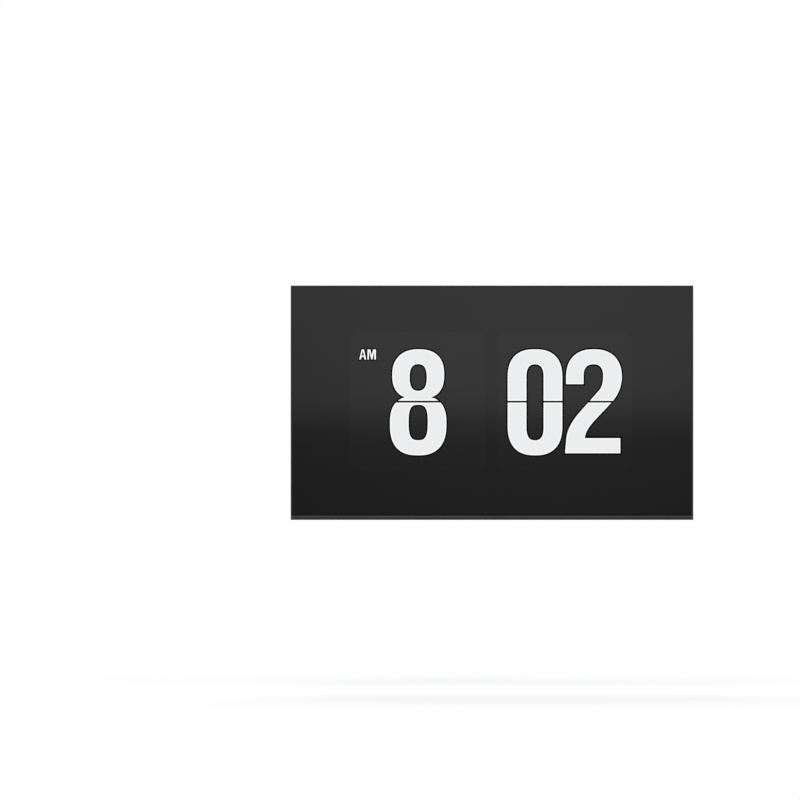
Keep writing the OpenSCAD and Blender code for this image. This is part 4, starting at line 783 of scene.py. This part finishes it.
class TELEVISION_OT_sockets(bpy.types.Operator):
    """Finishes the signal sockets and the mains inlet"""

    bl_idname = "television.sockets"
    bl_label = "Sockets"

    def execute(self, context):
        # Nickel on folded sheet is bright with a warm cast.
        nickel = grained("Steel shell, nickel plated", linear("#c6c5c0"), grain_mm=0.9, roughness=0.22,
                         vary=0.06, relief_mm=0.01, Metallic=1.0)
        dress(nickel, "hdmi_sockets", "usb_sockets", "network_socket", "aerial_socket")
        # Nylon with glass fibre is black with a dry, mottled face.
        nylon = grained("Nylon, glass filled", linear("#1a1b1d"), grain_mm=0.9, roughness=0.5,
                        vary=0.14, relief_mm=0.03, IOR=1.53)
        dress(nylon, "optical_socket", "headphone_socket", "mains_inlet")
        return {"FINISHED"}


class TELEVISION_OT_speakers(bpy.types.Operator):
    """Finishes the speaker drivers and cones"""

    bl_idname = "television.speakers"
    bl_label = "Speakers"

    def execute(self, context):
        # Paint on pressed steel is a mid grey with a soft shine.
        basket = grained("Steel, pressed and painted", linear("#54575b"), grain_mm=1.2, roughness=0.45,
                         vary=0.1, relief_mm=0.02, IOR=1.5)
        dress(basket, "speaker_driver_left", "speaker_driver_right")
        # Coated paper is soft black with short fibres.
        paper = grained("Paper pulp, coated", linear("#232427"), grain_mm=1.2, roughness=0.8,
                        vary=0.25, relief_mm=0.08, IOR=1.5)
        dress(paper, "speaker_cone_left", "speaker_cone_right")
        join_corners("speaker_cone_left", "speaker_cone_right")
        return {"FINISHED"}


class TELEVISION_OT_studio(bpy.types.Operator):
    """Sets the camera, the lamps, the floor and the background"""

    bl_idname = "television.studio"
    bl_label = "Studio"

    def lamp(self, name, place, size, power):
        """A soft rectangular lamp aimed at the middle of the set."""
        data = bpy.data.lights.new(name, "AREA")
        data.shape = "RECTANGLE"
        data.size, data.size_y = size
        data.energy = power
        lamp = bpy.data.objects.new(name, data)
        lamp.location = place
        aim = Vector((0, 0, SET_MIDDLE)) - Vector(place)
        lamp.rotation_euler = aim.to_track_quat("-Z", "Y").to_euler()
        bpy.context.scene.collection.objects.link(lamp)

    def seen(self, tree):
        """Rays from the camera, from gloss and through clear pieces, which see the studio as plain white."""
        path = put(tree, "LightPath")
        rays = path.outputs["Is Camera Ray"]
        for kind in ("Is Glossy Ray", "Is Transmission Ray"):
            rays = put(tree, "Math", [(0, rays), (1, path.outputs[kind])], operation="MAXIMUM").outputs[0]
        return rays

    def floor_finish(self, colour):
        """Rolled matt paint: a pale floor, white to the camera, that keeps a soft shadow near the set."""
        # The white grows from its near share to the whole between these distances in metres.
        near, far, near_share = 0.7, 2.4, 0.6
        finish, tree, shader, place = blank("Paint, rolled matt", Base_Color=shade(colour), Roughness=0.9)
        flat = put(tree, "VectorMath", [(0, place), (1, (1.0, 1.0, 0.0))], operation="MULTIPLY").outputs[0]
        away = put(tree, "VectorMath", [(0, flat)], operation="LENGTH").outputs["Value"]
        clear = put(tree, "MapRange", [("Value", away), ("From Min", near), ("From Max", far),
                                       ("To Min", near_share)], interpolation_type="SMOOTHSTEP")
        share = put(tree, "Math", [(0, self.seen(tree)), (1, clear.outputs["Result"])], operation="MULTIPLY")
        glow = put(tree, "Emission", [("Color", WHITE), ("Strength", 1.0)])
        upper = put(tree, "MixShader", [(0, share.outputs[0]), (1, shader.outputs[0]), (2, glow.outputs[0])])
        # The floor is open from below, so that the underside of the set can be looked at.
        under = put(tree, "NewGeometry").outputs["Backfacing"]
        lower = put(tree, "BsdfTransparent")
        mixed = put(tree, "MixShader", [(0, under), (1, upper.outputs[0]), (2, lower.outputs[0])])
        tree.links.new(mixed.outputs[0], tree.nodes["Material Output"].inputs["Surface"])
        return finish

    def execute(self, context):
        studio = context.scene.studio_setup
        scene = context.scene
        scene.view_settings.view_transform = "Standard"

        film_width = 36
        camera = bpy.data.cameras.new("Camera")
        camera.sensor_width = film_width
        camera.lens = film_width * studio.distance / studio.frame_width
        camera.clip_end = 8 * studio.distance
        eye = bpy.data.objects.new("Camera", camera)
        eye.location = (-studio.aim_left, BODY_LOW[1] - studio.distance, SET_MIDDLE + studio.aim_up)
        eye.rotation_euler = (math.radians(90), 0, 0)
        scene.collection.objects.link(eye)
        scene.camera = eye

        # Place, width and height of each lamp in metres, and its share of the main lamp's power.
        lamps = (("Key lamp", (-1.0, -3.2, 3.6), (2.6, 1.8), 1.0),
                 ("Fill lamp", (3.0, -3.2, 2.4), (2.6, 2.6), 0.58),
                 ("Back lamp", (-0.8, 2.6, 3.2), (2.4, 1.6), 0.95),
                 ("Back fill", (3.2, 3.0, 1.0), (2.0, 2.0), 0.35))
        for name, place, size, share in lamps:
            self.lamp(name, place, size, studio.lamp_power * share)

        world = bpy.data.worlds.new("Studio")
        scene.world = world
        world.use_nodes = True
        tree = world.node_tree
        soft = put(tree, "Background", [("Color", shade(studio.sky)), ("Strength", studio.sky_strength)])
        white = put(tree, "Background", [("Color", WHITE), ("Strength", 1.0)])
        mixed = put(tree, "MixShader", [(0, self.seen(tree)), (1, soft.outputs[0]), (2, white.outputs[0])])
        tree.links.new(mixed.outputs[0], tree.nodes["World Output"].inputs["Surface"])

        reach, height = 30, BODY_LOW[2] - studio.floor_drop
        corners = [(x, y, height) for x, y in rectangle(-reach, reach, -reach, reach)]
        mesh = bpy.data.meshes.new("Floor")
        mesh.from_pydata(corners, [], [(0, 1, 2, 3)])
        mesh.materials.append(self.floor_finish(studio.floor))
        floor = bpy.data.objects.new("Floor", mesh)
        scene.collection.objects.link(floor)
        return {"FINISHED"}


STEPS = (
    TELEVISION_OT_studio, TELEVISION_OT_screen, TELEVISION_OT_clock_cards, TELEVISION_OT_numerals,
    TELEVISION_OT_day_half, TELEVISION_OT_bezel, TELEVISION_OT_back_pan, TELEVISION_OT_rear_cover,
    TELEVISION_OT_keys, TELEVISION_OT_fixings, TELEVISION_OT_boards, TELEVISION_OT_sockets,
    TELEVISION_OT_speakers,
)


class TELEVISION_PT_sidebar(bpy.types.Panel):
    """The steps that dress the set, in order"""

    bl_idname = "TELEVISION_PT_sidebar"
    bl_label = "Television"
    bl_space_type = "VIEW_3D"
    bl_region_type = "UI"
    bl_category = "Television"

    def draw(self, context):
        for group in (context.scene.clock_picture, context.scene.set_finish, context.scene.studio_setup):
            box = self.layout.box()
            for name in group.__annotations__:
                box.prop(group, name)
        for step in STEPS:
            self.layout.operator(step.bl_idname)


CLASSES = (ClockPicture, SetFinish, StudioSetup) + STEPS + (TELEVISION_PT_sidebar,)


def register():
    for item in CLASSES:
        bpy.utils.register_class(item)
    bpy.types.Scene.clock_picture = bpy.props.PointerProperty(type=ClockPicture)
    bpy.types.Scene.set_finish = bpy.props.PointerProperty(type=SetFinish)
    bpy.types.Scene.studio_setup = bpy.props.PointerProperty(type=StudioSetup)


def unregister():
    del bpy.types.Scene.studio_setup
    del bpy.types.Scene.set_finish
    del bpy.types.Scene.clock_picture
    for item in reversed(CLASSES):
        bpy.utils.unregister_class(item)


def main():
    register()
    for step in STEPS:
        group, name = step.bl_idname.split(".")
        getattr(getattr(bpy.ops, group), name)()


if __name__ == "__main__":
    main()
